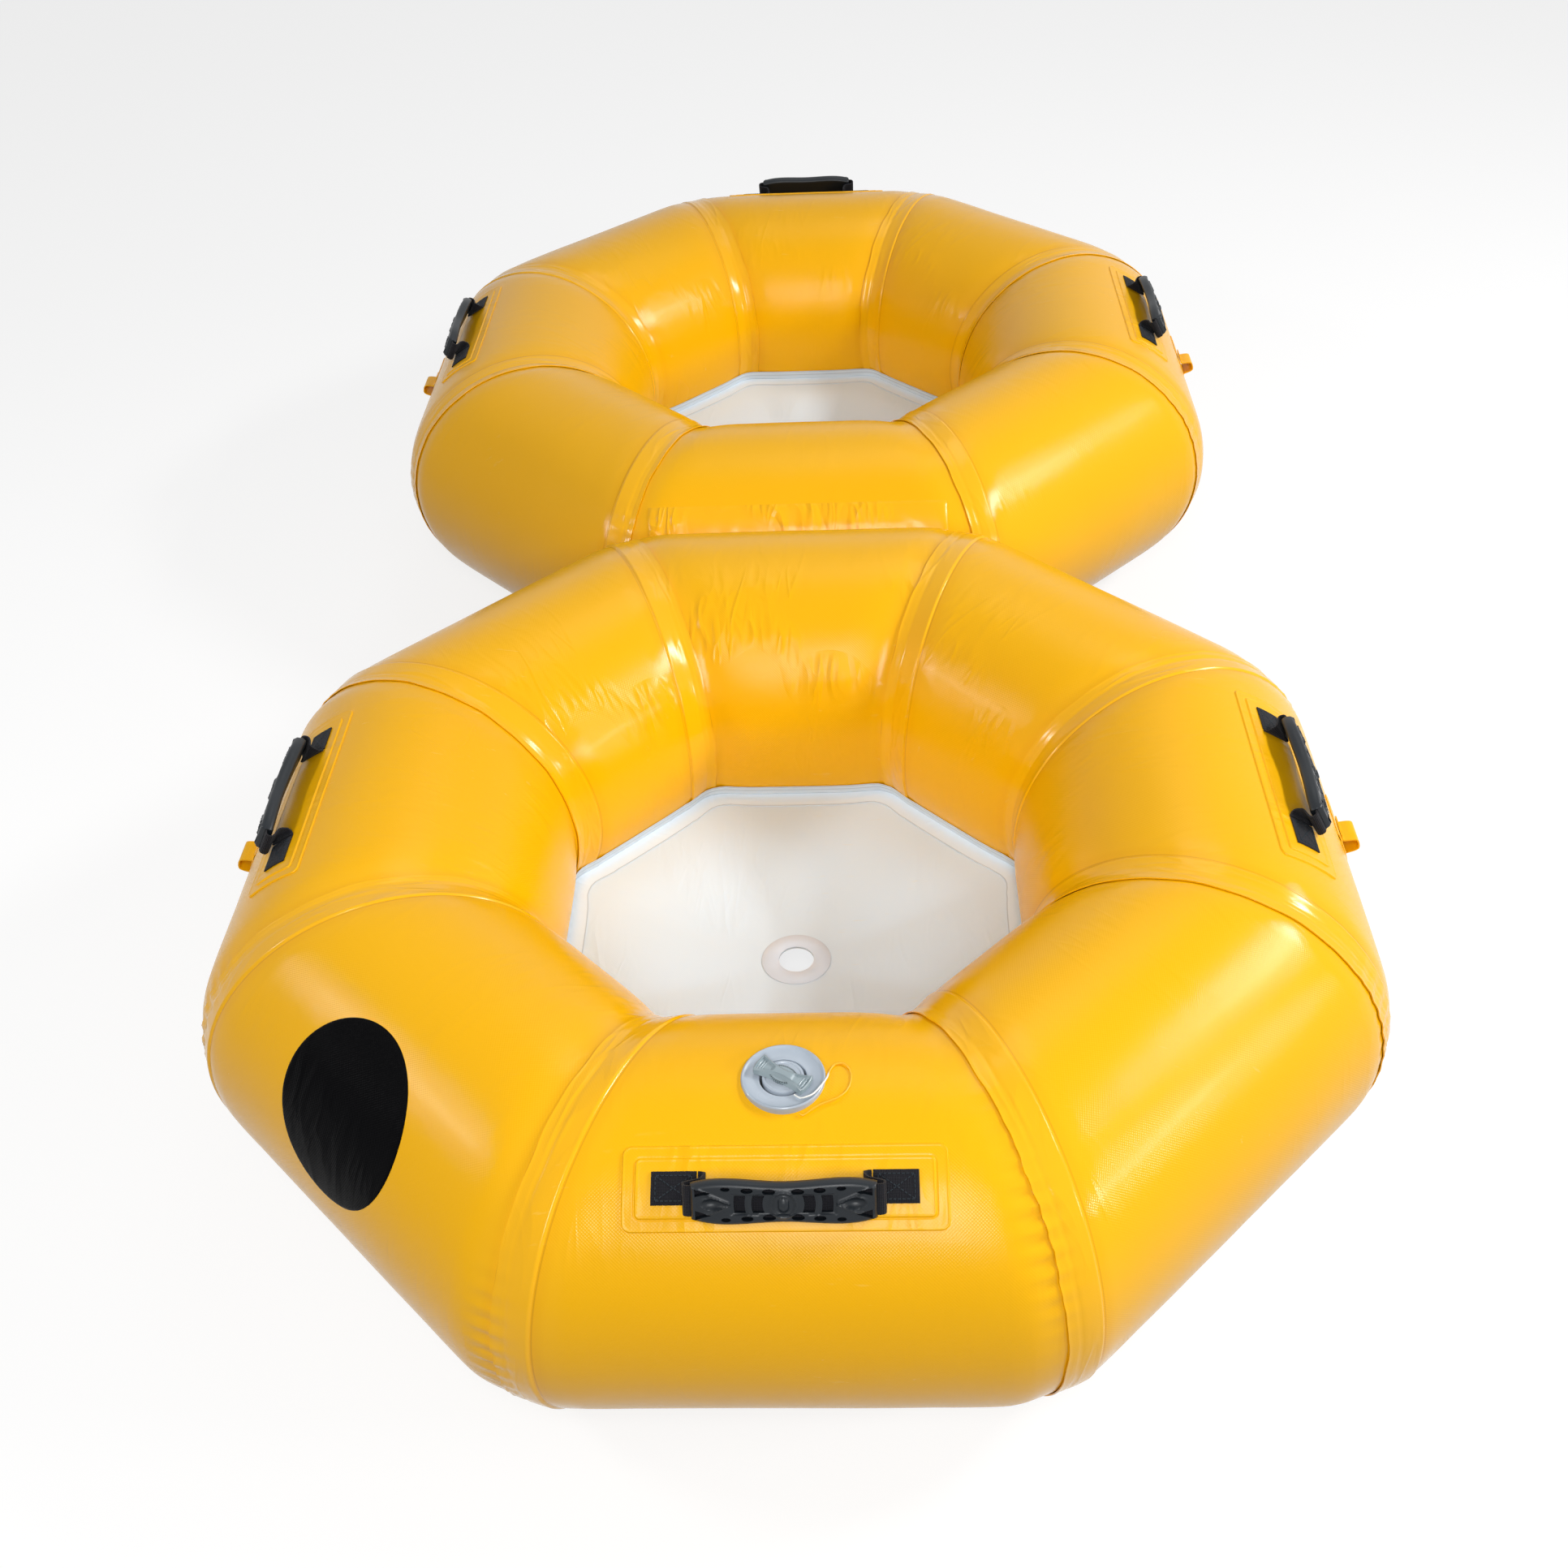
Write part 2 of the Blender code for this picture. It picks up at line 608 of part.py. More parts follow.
def grip_bow(x):
    """Height of the bowed middle line of the grip over its ends' plane."""
    return GRIP_BOW * (1.0 - (2.0 * x / GRIP_LENGTH) ** 2)


def grip_half_width(x):
    """Half the grip's width along its length: a waist, two bellies and narrower ends."""
    share = abs(2.0 * x / GRIP_LENGTH)
    belly_at = 0.64
    if share < belly_at:
        swell = (1.0 - math.cos(math.pi * share / belly_at)) / 2.0
        return (GRIP_WAIST_WIDTH + (GRIP_BELLY_WIDTH - GRIP_WAIST_WIDTH) * swell) / 2.0
    fall = (share - belly_at) / (1.0 - belly_at)
    return (GRIP_BELLY_WIDTH - (GRIP_BELLY_WIDTH - GRIP_END_WIDTH) * fall ** 2) / 2.0


def grip_mesh():
    """The moulded grip: a bowed, waisted bar with a slot for the strap and four windows onto it."""
    stations = (-1.0, -0.96, -0.8, -0.6, -0.32, 0.0, 0.32, 0.6, 0.8, 0.96, 1.0)
    loops = []
    for share in stations:
        x = share * GRIP_LENGTH / 2.0
        wide = grip_half_width(x)
        thick = GRIP_THICKNESS / 2.0
        if abs(share) == 1.0:
            wide -= 0.0012
            thick -= 0.0012
        shoulder = thick * 0.45
        section = (
            (wide, -shoulder), (wide, shoulder), (wide - 0.004, thick), (-wide + 0.004, thick),
            (-wide, shoulder), (-wide, -shoulder), (-wide + 0.003, -thick), (wide - 0.003, -thick),
        )
        loops.append([Vector((x, y, z + grip_bow(x))) for y, z in section])
    body = place_cutter("grip_body", finish_mesh("grip_body", capped_loft(loops), MOULDED))
    half_slot = WEBBING_WIDTH / 2.0 + GRIP_SLOT_CLEARANCE
    slot_loops = []
    for share in (-1.1,) + stations[1:-1] + (1.1,):
        x = share * GRIP_LENGTH / 2.0
        half = WEBBING_THICKNESS / 2.0 + GRIP_SLOT_CLEARANCE
        corners = ((half_slot, -half), (half_slot, half), (-half_slot, half), (-half_slot, -half))
        slot_loops.append([Vector((x, y, z + grip_bow(x))) for y, z in corners])
    slot = place_cutter("grip_slot", finish_mesh("grip_slot", capped_loft(slot_loops)))
    combine(body, slot, "DIFFERENCE")
    for number, (sign, radius) in enumerate((s, r) for s in (-1.0, 1.0) for r in GRIP_WINDOW_RADII):
        outline = window_outline(sign, radius)
        opened = finish_mesh("window", extruded(outline, (0.0, 0.0, 0.02)))
        combine(body, place_cutter(f"grip_window_{number}", opened), "DIFFERENCE")
    cuts = [[(x, y) for x, y in GRIP_CORNER_CUT]]
    for x, y, length, width in GRIP_HOLES:
        turns = [2.0 * math.pi * step / 6.0 for step in range(6)]
        cuts.append([(x + length / 2.0 * math.cos(a), y + width / 2.0 * math.sin(a)) for a in turns])
    for number, outline in enumerate(cuts):
        for quarter, (along, across) in enumerate(((1, 1), (-1, 1), (-1, -1), (1, -1))):
            points = [Vector((along * x, across * y, 0.0)) for x, y in outline]
            name = f"grip_cut_{number}_{quarter}"
            hole = place_cutter(name, finish_mesh(name, extruded(points, (0.0, 0.0, 0.02))))
            combine(body, hole, "DIFFERENCE")
    return settled_mesh("handle_grip", body)


def window_outline(sign, radius):
    """Outline of one grip window: a piece of a circular band, cut off square at top and bottom."""
    half = GRIP_WINDOW_HEIGHT / 2.0
    outline = []
    for edge, order in ((radius - GRIP_WINDOW_WIDTH / 2.0, 1.0), (radius + GRIP_WINDOW_WIDTH / 2.0, -1.0)):
        for step in (-1.0, 0.0, 1.0):
            y = order * step * half
            outline.append(Vector((sign * math.sqrt(edge ** 2 - y ** 2), y, 0.0)))
    return outline


def strap_mesh():
    """The free webbing: off the tube at one fold, round into the grip, through it and down to the other."""
    into_grip = grip_frame()
    thickness = WEBBING_THICKNESS
    level = GAP - thickness / 2.0
    mouth = GRIP_LENGTH / 2.0
    lean = math.radians(GRIP_LEAN)
    # Half route from the fold up to the grip: along, up the slope, off it, and share of the grip's lean
    climb = (
        (FOLD_OFFSET - GAP, 0.0, level, 0.0),
        (FOLD_OFFSET - 0.0012, 0.0, level, 0.0),
        (FOLD_OFFSET - 0.0040, -0.0003, level + 0.0006, 0.04),
        (FOLD_OFFSET - 0.0062, -0.0018, level + 0.0032, 0.25),
        (FOLD_OFFSET - 0.0030, -0.0055, level + 0.0059, 0.75),
    )
    # Half route round the grip's end into its mouth: past the end, height from its middle, share of the lean
    outer = (
        (0.0030, -0.0084, 0.96),
        (0.0065, -0.0058, 1.0),
        (0.0056, -0.0015, 1.0),
        (0.0020, 0.0, 1.0),
    )
    half = []
    for along, y, z, share in climb:
        half.append((along, Vector((y, z)), share))
    for past, height, share in outer:
        in_pivot = into_grip @ Vector((0.0, 0.0, height))
        half.append((mouth + past, Vector((in_pivot.y, in_pivot.z)), share))
    for along in (0.96 * mouth, 0.6 * mouth, 0.3 * mouth):
        in_pivot = into_grip @ Vector((0.0, 0.0, grip_bow(along)))
        half.append((along, Vector((in_pivot.y, in_pivot.z)), 1.0))
    route = half + [(-along, spot, share) for along, spot, share in reversed(half)]
    loops = []
    for index, (along, spot, share) in enumerate(route):
        before = route[max(index - 1, 0)]
        after = route[min(index + 1, len(route) - 1)]
        here = Vector((along, spot.x, spot.y))
        heading = Vector((after[0], after[1].x, after[1].y)) - Vector((before[0], before[1].x, before[1].y))
        turn = lean * share
        across = Vector((0.0, math.cos(turn), math.sin(turn)))
        heading -= across * heading.dot(across)
        normal = across.cross(heading.normalized())
        side = across * WEBBING_WIDTH / 2.0
        rise = normal * thickness / 2.0
        loops.append([here + side + rise, here - side + rise, here - side - rise, here + side - rise])
    return finish_mesh("handle_strap", capped_loft(loops), WEBBING)


def make_handles():
    """Six carry handles: the patch on the tube, and the strap and grip with their origins on the fold."""
    patch = handle_patch_mesh()
    grip = grip_mesh()
    grip.transform(grip_frame())
    strap = strap_mesh()
    for ring, place in HANDLE_PLACES:
        shift = FRONT_HANDLE_SHIFT if (ring, place) == ("front", "front") else 0.0
        frame = side_frame(ring, PLACES.index(place)) @ Matrix.Translation((0.0, shift, 0.0))
        name = f"{ring}_ring_{place}_handle"
        place_piece(f"{name}_patch", patch, frame)
        place_piece(f"{name}_strap", strap, frame @ pivot_frame())
        place_piece(f"{name}_grip", grip, frame @ pivot_frame())


def loop_mesh():
    """A tie loop: a fabric band that rises off its patch in a flat-topped arch, open along the tube."""
    angle = math.radians(LOOP_ANGLE)
    patch_top = GAP + LOOP_PATCH_THICKNESS
    patch = wrapped_slab(
        0.0, angle, LOOP_PATCH_LENGTH, LOOP_PATCH_WIDTH, GAP, patch_top, PATCH_CORNER
    )
    body = place_cutter("loop_body", finish_mesh("tie_loop", patch, YELLOW))
    wall = LOOP_THICKNESS
    low = patch_top - SLAB_BITE
    outer = (
        (LOOP_BASE / 2.0 + LOOP_FOOT, patch_top + wall),
        (LOOP_BASE / 2.0, patch_top + wall),
        (LOOP_CROWN / 2.0 + 0.0025, patch_top + LOOP_HEIGHT - 0.0015),
        (LOOP_CROWN / 2.0, patch_top + LOOP_HEIGHT),
    )
    inner = (
        (LOOP_CROWN / 2.0, patch_top + LOOP_HEIGHT - wall),
        (LOOP_CROWN / 2.0 + 0.0008, patch_top + LOOP_HEIGHT - wall - 0.0006),
        (LOOP_BASE / 2.0 - wall, patch_top + 0.0012),
        (LOOP_BASE / 2.0 - wall, low),
        (LOOP_BASE / 2.0 + LOOP_FOOT, low),
    )
    half = outer + inner
    outline = [(y, z) for y, z in reversed(outer)] + [half[-1]] + [(y, z) for y, z in reversed(inner[:-1])]
    mirrored = [(-y, z) for y, z in reversed(outline)]
    flat = flat_angle(angle)
    origin = skin_point(0.0, flat, 0.0)
    up_slope = Vector((-math.sin(flat), 0.0, math.cos(flat)))
    off_skin = Vector((math.cos(flat), 0.0, math.sin(flat)))
    start = Vector((0.0, -LOOP_WIDTH / 2.0, 0.0))
    points = [origin + start + up_slope * y + off_skin * z for y, z in outline + mirrored]
    band = extruded(points, (0.0, LOOP_WIDTH, 0.0))
    combine(body, place_cutter("loop_band", finish_mesh("loop_band", band, YELLOW)), "UNION")
    return settled_mesh("tie_loop", body)


def make_tie_loops():
    """Four tie loops on the outer sides, set a little towards the rear."""
    loop = loop_mesh()
    for ring in RINGS:
        for place, towards_rear in (("left", -1.0), ("right", 1.0)):
            shift = Matrix.Translation((0.0, towards_rear * LOOP_SHIFT, 0.0))
            frame = side_frame(ring, PLACES.index(place)) @ shift
            place_piece(f"{ring}_ring_{place}_tie_loop", loop, frame)


def valve_frame():
    """Frame on top of the front tube at the valve: x along the tube, y inwards, z up."""
    side = side_frame("front", 0) @ Matrix.Translation((0.0, VALVE_SHIFT, TUBE_RADIUS))
    return side @ Matrix.Rotation(math.pi / 2.0, 4, "Z")


def make_valve_base():
    """The dished flange, cut to the tube below, with the collar through it and the sleeve inside."""
    frame = valve_frame()
    rim = FLANGE_DIAMETER / 2.0
    collar = COLLAR_DIAMETER / 2.0
    bore = BORE_DIAMETER / 2.0
    dish_edge = rim - 0.008
    flange_profile = (
        (rim - 0.0019, FLANGE_RIM_HEIGHT),
        (rim, FLANGE_RIM_HEIGHT - 0.0014),
        (rim, -0.006),
        (collar + GAP, -0.006),
        (collar + GAP, FLANGE_DISH_HEIGHT - 0.0002),
        (dish_edge, FLANGE_DISH_HEIGHT - 0.0002),
        (rim - 0.0053, FLANGE_RIM_HEIGHT - 0.0002),
    )
    base = turned("valve_base", flange_profile, VALVE_SIDES, GREY, frame, piece=True)
    saddle = finish_mesh("valve_saddle", skin_prism(0.2, GAP))
    combine(base, place_cutter("valve_saddle", saddle, side_frame("front", 0)), "DIFFERENCE")
    collar_profile = (
        (collar, FLANGE_DISH_HEIGHT),
        (collar, -COLLAR_DEPTH),
        (bore, -COLLAR_DEPTH),
        (bore, FLANGE_DISH_HEIGHT),
    )
    turned("valve_collar", collar_profile, VALVE_SIDES, GREY, frame, piece=True)
    sleeve_bore = SLEEVE_BORE_DIAMETER / 2.0
    sleeve_profile = (
        (bore - GAP, -SLEEVE_DEPTH),
        (bore - GAP, -SEAT_DEPTH),
        (sleeve_bore, -SEAT_DEPTH),
        (sleeve_bore, -SLEEVE_DEPTH),
    )
    turned("valve_sleeve", sleeve_profile, VALVE_SIDES, GREY, frame, piece=True)


def make_flap_seat():
    """The disc held in the foot of the collar, with a ring of flow holes and a hole for the flap's stem."""
    frame = valve_frame()
    edge = BORE_DIAMETER / 2.0 - GAP
    stem_hole = FLAP_STEM_DIAMETER / 2.0 + STEM_CLEARANCE
    seat_profile = ((edge, SEAT_TOP), (edge, SEAT_LOW), (stem_hole, SEAT_LOW), (stem_hole, SEAT_TOP))
    seat = turned("valve_flap_seat", seat_profile, VALVE_SIDES, GREY, frame, piece=True)
    for number in range(FLOW_HOLES):
        heading = 2.0 * math.pi * number / FLOW_HOLES
        middle = Matrix.Rotation(heading, 4, "Z") @ Matrix.Translation((FLOW_HOLE_CIRCLE, 0.0, 0.0))
        hole = cylinder(FLOW_HOLE_DIAMETER / 2.0, SEAT_LOW - 0.002, SEAT_TOP + 0.002, 10)
        name = f"flow_hole_{number}"
        combine(seat, place_cutter(name, finish_mesh(name, hole), frame @ middle), "DIFFERENCE")


def knob_outline():
    """Bow-tie outline of the knob: two fans with toothed round ends, joined by a waist."""
    reach = KNOB_LENGTH / 2.0
    fan = math.asin(KNOB_END_WIDTH / 2.0 / reach)
    waist = KNOB_WAIST_WIDTH / 2.0
    outline = []
    for sign in (1.0, -1.0):
        outline.append(Vector((sign * waist * 0.6, -sign * waist, 0.0)))
        for tooth in range(2 * KNOB_TEETH + 1):
            heading = fan * (tooth / KNOB_TEETH - 1.0)
            length = sign * (reach - (KNOB_TOOTH_DEPTH if tooth % 2 else 0.0))
            outline.append(Vector((length * math.cos(heading), length * math.sin(heading), 0.0)))
        outline.append(Vector((sign * waist * 0.6, sign * waist, 0.0)))
    return outline


def make_valve_inside():
    """The plug with its knob, the washer under it, the flap below and the nut inside the tube."""
    frame = valve_frame()
    head = PLUG_DIAMETER / 2.0
    skirt = PLUG_SKIRT_DIAMETER / 2.0
    washer_low = -SLEEVE_DEPTH + GAP
    washer_high = washer_low + WASHER_THICKNESS
    plug_profile = (
        (0.0, PLUG_HEIGHT),
        (head - 0.001, PLUG_HEIGHT),
        (head, PLUG_HEIGHT - 0.001),
        (head, washer_high + GAP),
        (skirt, washer_high + GAP),
        (skirt, -PLUG_SKIRT_DEPTH),
        (0.0, -PLUG_SKIRT_DEPTH),
    )
    plug = turned("valve_plug", plug_profile, VALVE_SIDES, GREY, frame, piece=True)
    knob_low = PLUG_HEIGHT - SLAB_BITE
    knob = extruded(knob_outline(), (0.0, 0.0, KNOB_HEIGHT + SLAB_BITE))
    knob_turn = Matrix.Rotation(math.radians(KNOB_HEADING), 4, "Z")
    knob_frame = frame @ Matrix.Translation((0.0, 0.0, knob_low)) @ knob_turn
    combine(plug, place_cutter("valve_knob", finish_mesh("valve_knob", knob, GREY), knob_frame), "UNION")
    bore = BORE_DIAMETER / 2.0
    washer_profile = (
        (bore - GAP, washer_high),
        (bore - GAP, washer_low),
        (skirt + GAP, washer_low),
        (skirt + GAP, washer_high),
    )
    turned("valve_seal_washer", washer_profile, VALVE_SIDES, RUBBER, frame, piece=True)
    stem = FLAP_STEM_DIAMETER / 2.0
    head_low = SEAT_TOP + GAP
    flap_high = SEAT_LOW - GAP
    flap_profile = (
        (0.0, head_low + FLAP_HEAD_THICKNESS),
        (FLAP_HEAD_DIAMETER / 2.0, head_low + FLAP_HEAD_THICKNESS),
        (FLAP_HEAD_DIAMETER / 2.0, head_low),
        (stem, head_low),
        (stem, flap_high),
        (FLAP_DIAMETER / 2.0, flap_high),
        (FLAP_DIAMETER / 2.0, flap_high - FLAP_THICKNESS),
        (0.0, flap_high - FLAP_THICKNESS),
    )
    turned("valve_flap", flap_profile, VALVE_SIDES, RUBBER, frame, piece=True)
    nut_profile = (
        (NUT_DIAMETER / 2.0, 0.002),
        (NUT_DIAMETER / 2.0, -NUT_DEPTH),
        (COLLAR_DIAMETER / 2.0 + GAP, -NUT_DEPTH),
        (COLLAR_DIAMETER / 2.0 + GAP, 0.002),
    )
    nut = turned("valve_backing_nut", nut_profile, VALVE_SIDES, GREY, frame, piece=True)
    inside = finish_mesh("tube_inside", skin_prism(0.2, -FABRIC - GAP))
    combine(nut, place_cutter("tube_inside", inside, side_frame("front", 0)), "INTERSECT")


def smooth_route(points, spacing):
    """Points at even steps along a smooth curve through a route."""
    padded = [points[0] * 2.0 - points[1]] + points + [points[-1] * 2.0 - points[-2]]
    fine = []
    for a, b, c, d in zip(padded, padded[1:], padded[2:], padded[3:]):
        for step in range(16):
            t = step / 16.0
            fine.append(0.5 * ((2.0 * b) + (c - a) * t + (2.0 * a - 5.0 * b + 4.0 * c - d) * t ** 2
                               + (3.0 * b - a - 3.0 * c + d) * t ** 3))
    fine.append(points[-1])
    kept = [fine[0]]
    for point in fine[1:]:
        if (point - kept[-1]).length >= spacing:
            kept.append(point)
    kept[-1] = fine[-1]
    return kept


def make_tether():
    """The plug's tether: over the flange's rim, round a slack loop on the tube and back to the flange."""
    route = smooth_route([Vector(point) for point in TETHER_ROUTE], TETHER_DIAMETER * 2.5)
    curve = bpy.data.curves.new("valve_tether", "CURVE")
    curve.dimensions = "3D"
    curve.bevel_depth = TETHER_DIAMETER / 2.0
    curve.bevel_resolution = 2
    curve.use_fill_caps = True
    spline = curve.splines.new("POLY")
    spline.points.add(len(route) - 1)
    for point, spot in zip(spline.points, route):
        point.co = (spot.x, spot.y, spot.z, 1.0)
    curve.materials.append(material(CORD))
    place_piece("valve_tether", curve, valve_frame())


HANDLE_PLACES = (
    ("front", "front"), ("front", "left"), ("front", "right"),
    ("rear", "back"), ("rear", "left"), ("rear", "right"),
)

clear_scene()
parts = new_collection("river_tube")
cutters = new_collection("cutters")
make_tubes()
make_joining_strips()
make_floors()
make_handles()
make_tie_loops()
make_valve_base()
make_flap_seat()
make_valve_inside()
make_tether()
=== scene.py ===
"""River tube: the fabric, fittings and studio for two octagonal inflated rings joined in line.

Lengths are in metres and angles in radians. +Z is up and +Y runs from the front ring to the rear ring.
"""
import math

import bmesh
import bpy
import numpy as np
from bpy.props import FloatProperty, FloatVectorProperty, IntProperty
from mathutils import Matrix, Vector, noise


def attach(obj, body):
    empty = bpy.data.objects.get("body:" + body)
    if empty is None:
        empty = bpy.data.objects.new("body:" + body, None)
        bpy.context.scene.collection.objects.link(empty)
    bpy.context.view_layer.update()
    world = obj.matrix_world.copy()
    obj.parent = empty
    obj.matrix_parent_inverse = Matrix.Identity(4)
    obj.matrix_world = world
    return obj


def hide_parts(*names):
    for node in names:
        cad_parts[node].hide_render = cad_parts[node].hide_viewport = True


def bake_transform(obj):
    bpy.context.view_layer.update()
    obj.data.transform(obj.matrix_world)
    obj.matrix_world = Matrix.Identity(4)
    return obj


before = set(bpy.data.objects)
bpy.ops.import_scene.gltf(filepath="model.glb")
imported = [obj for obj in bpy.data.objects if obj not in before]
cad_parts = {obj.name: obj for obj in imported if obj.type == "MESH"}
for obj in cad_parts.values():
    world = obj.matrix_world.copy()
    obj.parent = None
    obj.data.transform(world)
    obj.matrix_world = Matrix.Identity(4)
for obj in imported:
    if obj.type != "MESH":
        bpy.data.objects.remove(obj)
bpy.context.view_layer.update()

bl_info = {
    "name": "River Tube",
    "version": (1, 0, 0),
    "blender": (4, 5, 0),
    "location": "View3D > Sidebar > River Tube",
    "description": "Dresses a double river tube with its fabric, floors, handles, tie loops and valve",
    "category": "Object",
}

RINGS = {"front": -1.0, "rear": 1.0}
PLACES = ("front", "front_right", "right", "back_right", "back", "back_left", "left", "front_left")
HANDLES = (
    ("front", "front", 0.009), ("front", "left", 0.0), ("front", "right", 0.0),
    ("rear", "back", 0.0), ("rear", "left", 0.0), ("rear", "right", 0.0),
)
# How far the middle of each lap lies past the mitre at the end of its tube, in the order of PLACES.
# The lap lies over the next tube where this is above 0.
LAP_SHIFTS = {
    "front": (0.019, 0.0, -0.005, -0.019, 0.015, -0.014, 0.012, 0.019),
    "rear": (0.019, 0.0, 0.0, -0.006, 0.0, 0.0, -0.005, -0.012),
}
# Tubes whose inner slopes are the most creased
CREASED = {
    ("front", "back"): 1.0, ("front", "back_left"): 0.9, ("front", "back_right"): 0.5, ("front", "front"): 0.35,
    ("rear", "back_left"): 0.5, ("rear", "back_right"): 0.4,
}
# Half the turn from one tube to the next, and what a tube's half length gains per length out of the ring
HALF_TURN = math.pi / len(PLACES)
CORNERS = ((-1.0, -1.0), (-1.0, 1.0), (1.0, -1.0), (1.0, 1.0))
MITRE = math.tan(HALF_TURN)
# Slopes round the tube of a handle's patch and of a tie loop, lean of the grip, turn of the valve's knob
HANDLE_ANGLE = math.radians(57.5)
LOOP_ANGLE = math.radians(17.0)
GRIP_LEAN = math.radians(33.0)
KNOB_TURN = math.radians(-31.0)
WHITE = (1.0, 1.0, 1.0, 1.0)
# Radius that stands for a point on a lathe's axis
AXIS_RADIUS = 0.00001

# The tether's route about the valve's centre: x along the tube, y inwards, z up from the tube
TETHER_ROUTE = (
    (0.0100, -0.0205, 0.0028), (0.0150, -0.0247, 0.0032), (0.0205, -0.0248, 0.0050),
    (0.0265, -0.0212, 0.0050), (0.0330, -0.0120, 0.0048), (0.0376, -0.0020, 0.0030),
    (0.0400, 0.0070, 0.0013), (0.0440, 0.0140, 0.0013), (0.0515, 0.0150, 0.0013),
    (0.0570, 0.0080, 0.0013), (0.0580, -0.0040, 0.0013), (0.0540, -0.0160, 0.0013),
    (0.0450, -0.0245, 0.0017), (0.0330, -0.0290, 0.0006), (0.0240, -0.0345, -0.0010),
    (0.0175, -0.0390, -0.0022), (0.0142, -0.0372, -0.0018),
)


def length(name, default, description):
    """A size in metres."""
    return FloatProperty(name=name, description=description, default=default, unit="LENGTH", precision=4)


def colour(name, default, description):
    """A colour that the user can change."""
    return FloatVectorProperty(
        name=name, description=description, default=default, subtype="COLOR", size=3, min=0.0, max=1.0
    )


class RingSizes(bpy.types.PropertyGroup):
    """Sizes of the inflated rings."""

    tube_radius: length("Tube radius", 0.175, "Radius of the inflated tubes")
    skin_rise: length("Skin rise", 0.0004, "How far the round skin stands off the faceted one")
    apothem: length("Ring apothem", 0.4233, "From a ring's centre to the axis of its tubes")
    press_depth: length("Press depth", 0.0294, "How far each ring is flattened against the other")
    clearance: length("Clearance", 0.0003, "Gap under a lap, patch or strip")
    lap_width: length("Lap width", 0.040, "Width of the lap over each mitre")
    lap_thickness: length("Lap thickness", 0.0012, "Thickness of the lap bands")
    outer_round: length("Outer rounding", 0.112, "Radius that softens the outer corners")
    inner_round: length("Inner rounding", 0.040, "Radius that softens the inner corners")
    pinch: length("Pinch", 0.0045, "How far the skin is drawn in at a seam")
    pucker: length("Pucker", 0.0021, "Height of the gathers along a seam's outer side")
    waviness: length("Waviness", 0.0006, "Soft unevenness of the inflated skin")
    steps_round: IntProperty(name="Steps round", description="Facets round a tube", default=200, min=24)
    steps_along: IntProperty(name="Steps along", description="Rows along a tube", default=72, min=8)


class FittingSizes(bpy.types.PropertyGroup):
    """Sizes of the floors, patches, grips and loops."""

    floor_height: length("Floor height", 0.0968, "Height of the floor's edge over the ground")
    floor_sag: length("Floor sag", 0.026, "How far the floor's middle hangs below its edge")
    tape_width: length("Tape width", 0.024, "Width of the tape that lies on the floor")
    tape_rise: length("Tape rise", 0.017, "How far the tape climbs the wall")
    drain_hole: length("Drain hole", 0.040, "Diameter of the drain hole")
    drain_ring: length("Drain ring", 0.079, "Diameter of the film round the drain hole")
    patch_length: length("Patch length", 0.271, "Length of a handle patch")
    patch_width: length("Patch width", 0.071, "Width of a handle patch")
    panel_length: length("Panel length", 0.247, "Length of the raised panel on a patch")
    panel_width: length("Panel width", 0.048, "Width of the raised panel on a patch")
    webbing_width: length("Webbing width", 0.027, "Width of the handle webbing")
    webbing_thickness: length("Webbing thickness", 0.002, "Thickness of the handle webbing")
    webbing_end: length("Webbing end", 0.038, "Length of each sewn end of the webbing")
    webbing_span: length("Webbing span", 0.220, "Distance over both sewn ends")
    grip_length: length("Grip length", 0.152, "Length of the moulded grip")
    grip_end: length("Grip end width", 0.030, "Width of the grip at its ends")
    grip_belly: length("Grip belly width", 0.038, "Width of the grip at its bellies")
    grip_waist: length("Grip waist width", 0.033, "Width of the grip at its middle")
    grip_thickness: length("Grip thickness", 0.013, "Thickness of the grip")
    grip_bow: length("Grip bow", 0.003, "How far the grip's middle bows out")
    loop_width: length("Loop width", 0.031, "Width of a tie loop's band")


class Finishes(bpy.types.PropertyGroup):
    """Colours of the finishes."""

    yellow: colour("Yellow", (0.91, 0.463, 0.0022), "Coated fabric of the tubes")
    # Deep yellow goes into random blotches, and on the tubes it is also painted shade in a strip beside each lap.
    deep_yellow: colour("Deep yellow", (0.83, 0.385, 0.001), "Yellow in worn and folded places")
    white: colour("White", (0.78, 0.90, 1.0), "Floor sheet")
    tape: colour("Tape", (0.84, 0.93, 1.0), "Tape round the floor")
    film: colour("Film", (0.76, 0.84, 0.95), "Film round the drain hole")
    webbing: colour("Webbing", (0.0045, 0.0045, 0.006), "Woven handle webbing")
    grip: colour("Grip", (0.0085, 0.0120, 0.0160), "Moulded grips")
    valve: colour("Valve", (0.42, 0.48, 0.55), "Valve plastic")
    rubber: colour("Rubber", (0.02, 0.02, 0.02), "Seal, flap and nut")
    tether: colour("Tether", (0.88, 0.88, 0.84), "Valve tether")
    black_patch: colour("Black patch", (0.0035, 0.0035, 0.004), "Plain dark patch on the front left tube")


# Pieces: naming, editing, shading and dressing them


def pick_none():
    """Leaves edit mode with nothing selected."""
    if bpy.context.object and bpy.context.object.mode != "OBJECT":
        bpy.ops.object.mode_set(mode="OBJECT")
    bpy.ops.object.select_all(action="DESELECT")


def named(name):
    """Names the piece that was just added and fixes its place in its mesh."""
    piece = bpy.context.object
    piece.name = name
    piece.data.name = name
    bpy.ops.object.transform_apply(location=True, rotation=True, scale=True)
    return piece


def take(piece):
    """Makes a piece the only one selected."""
    pick_none()
    piece.select_set(True)
    bpy.context.view_layer.objects.active = piece


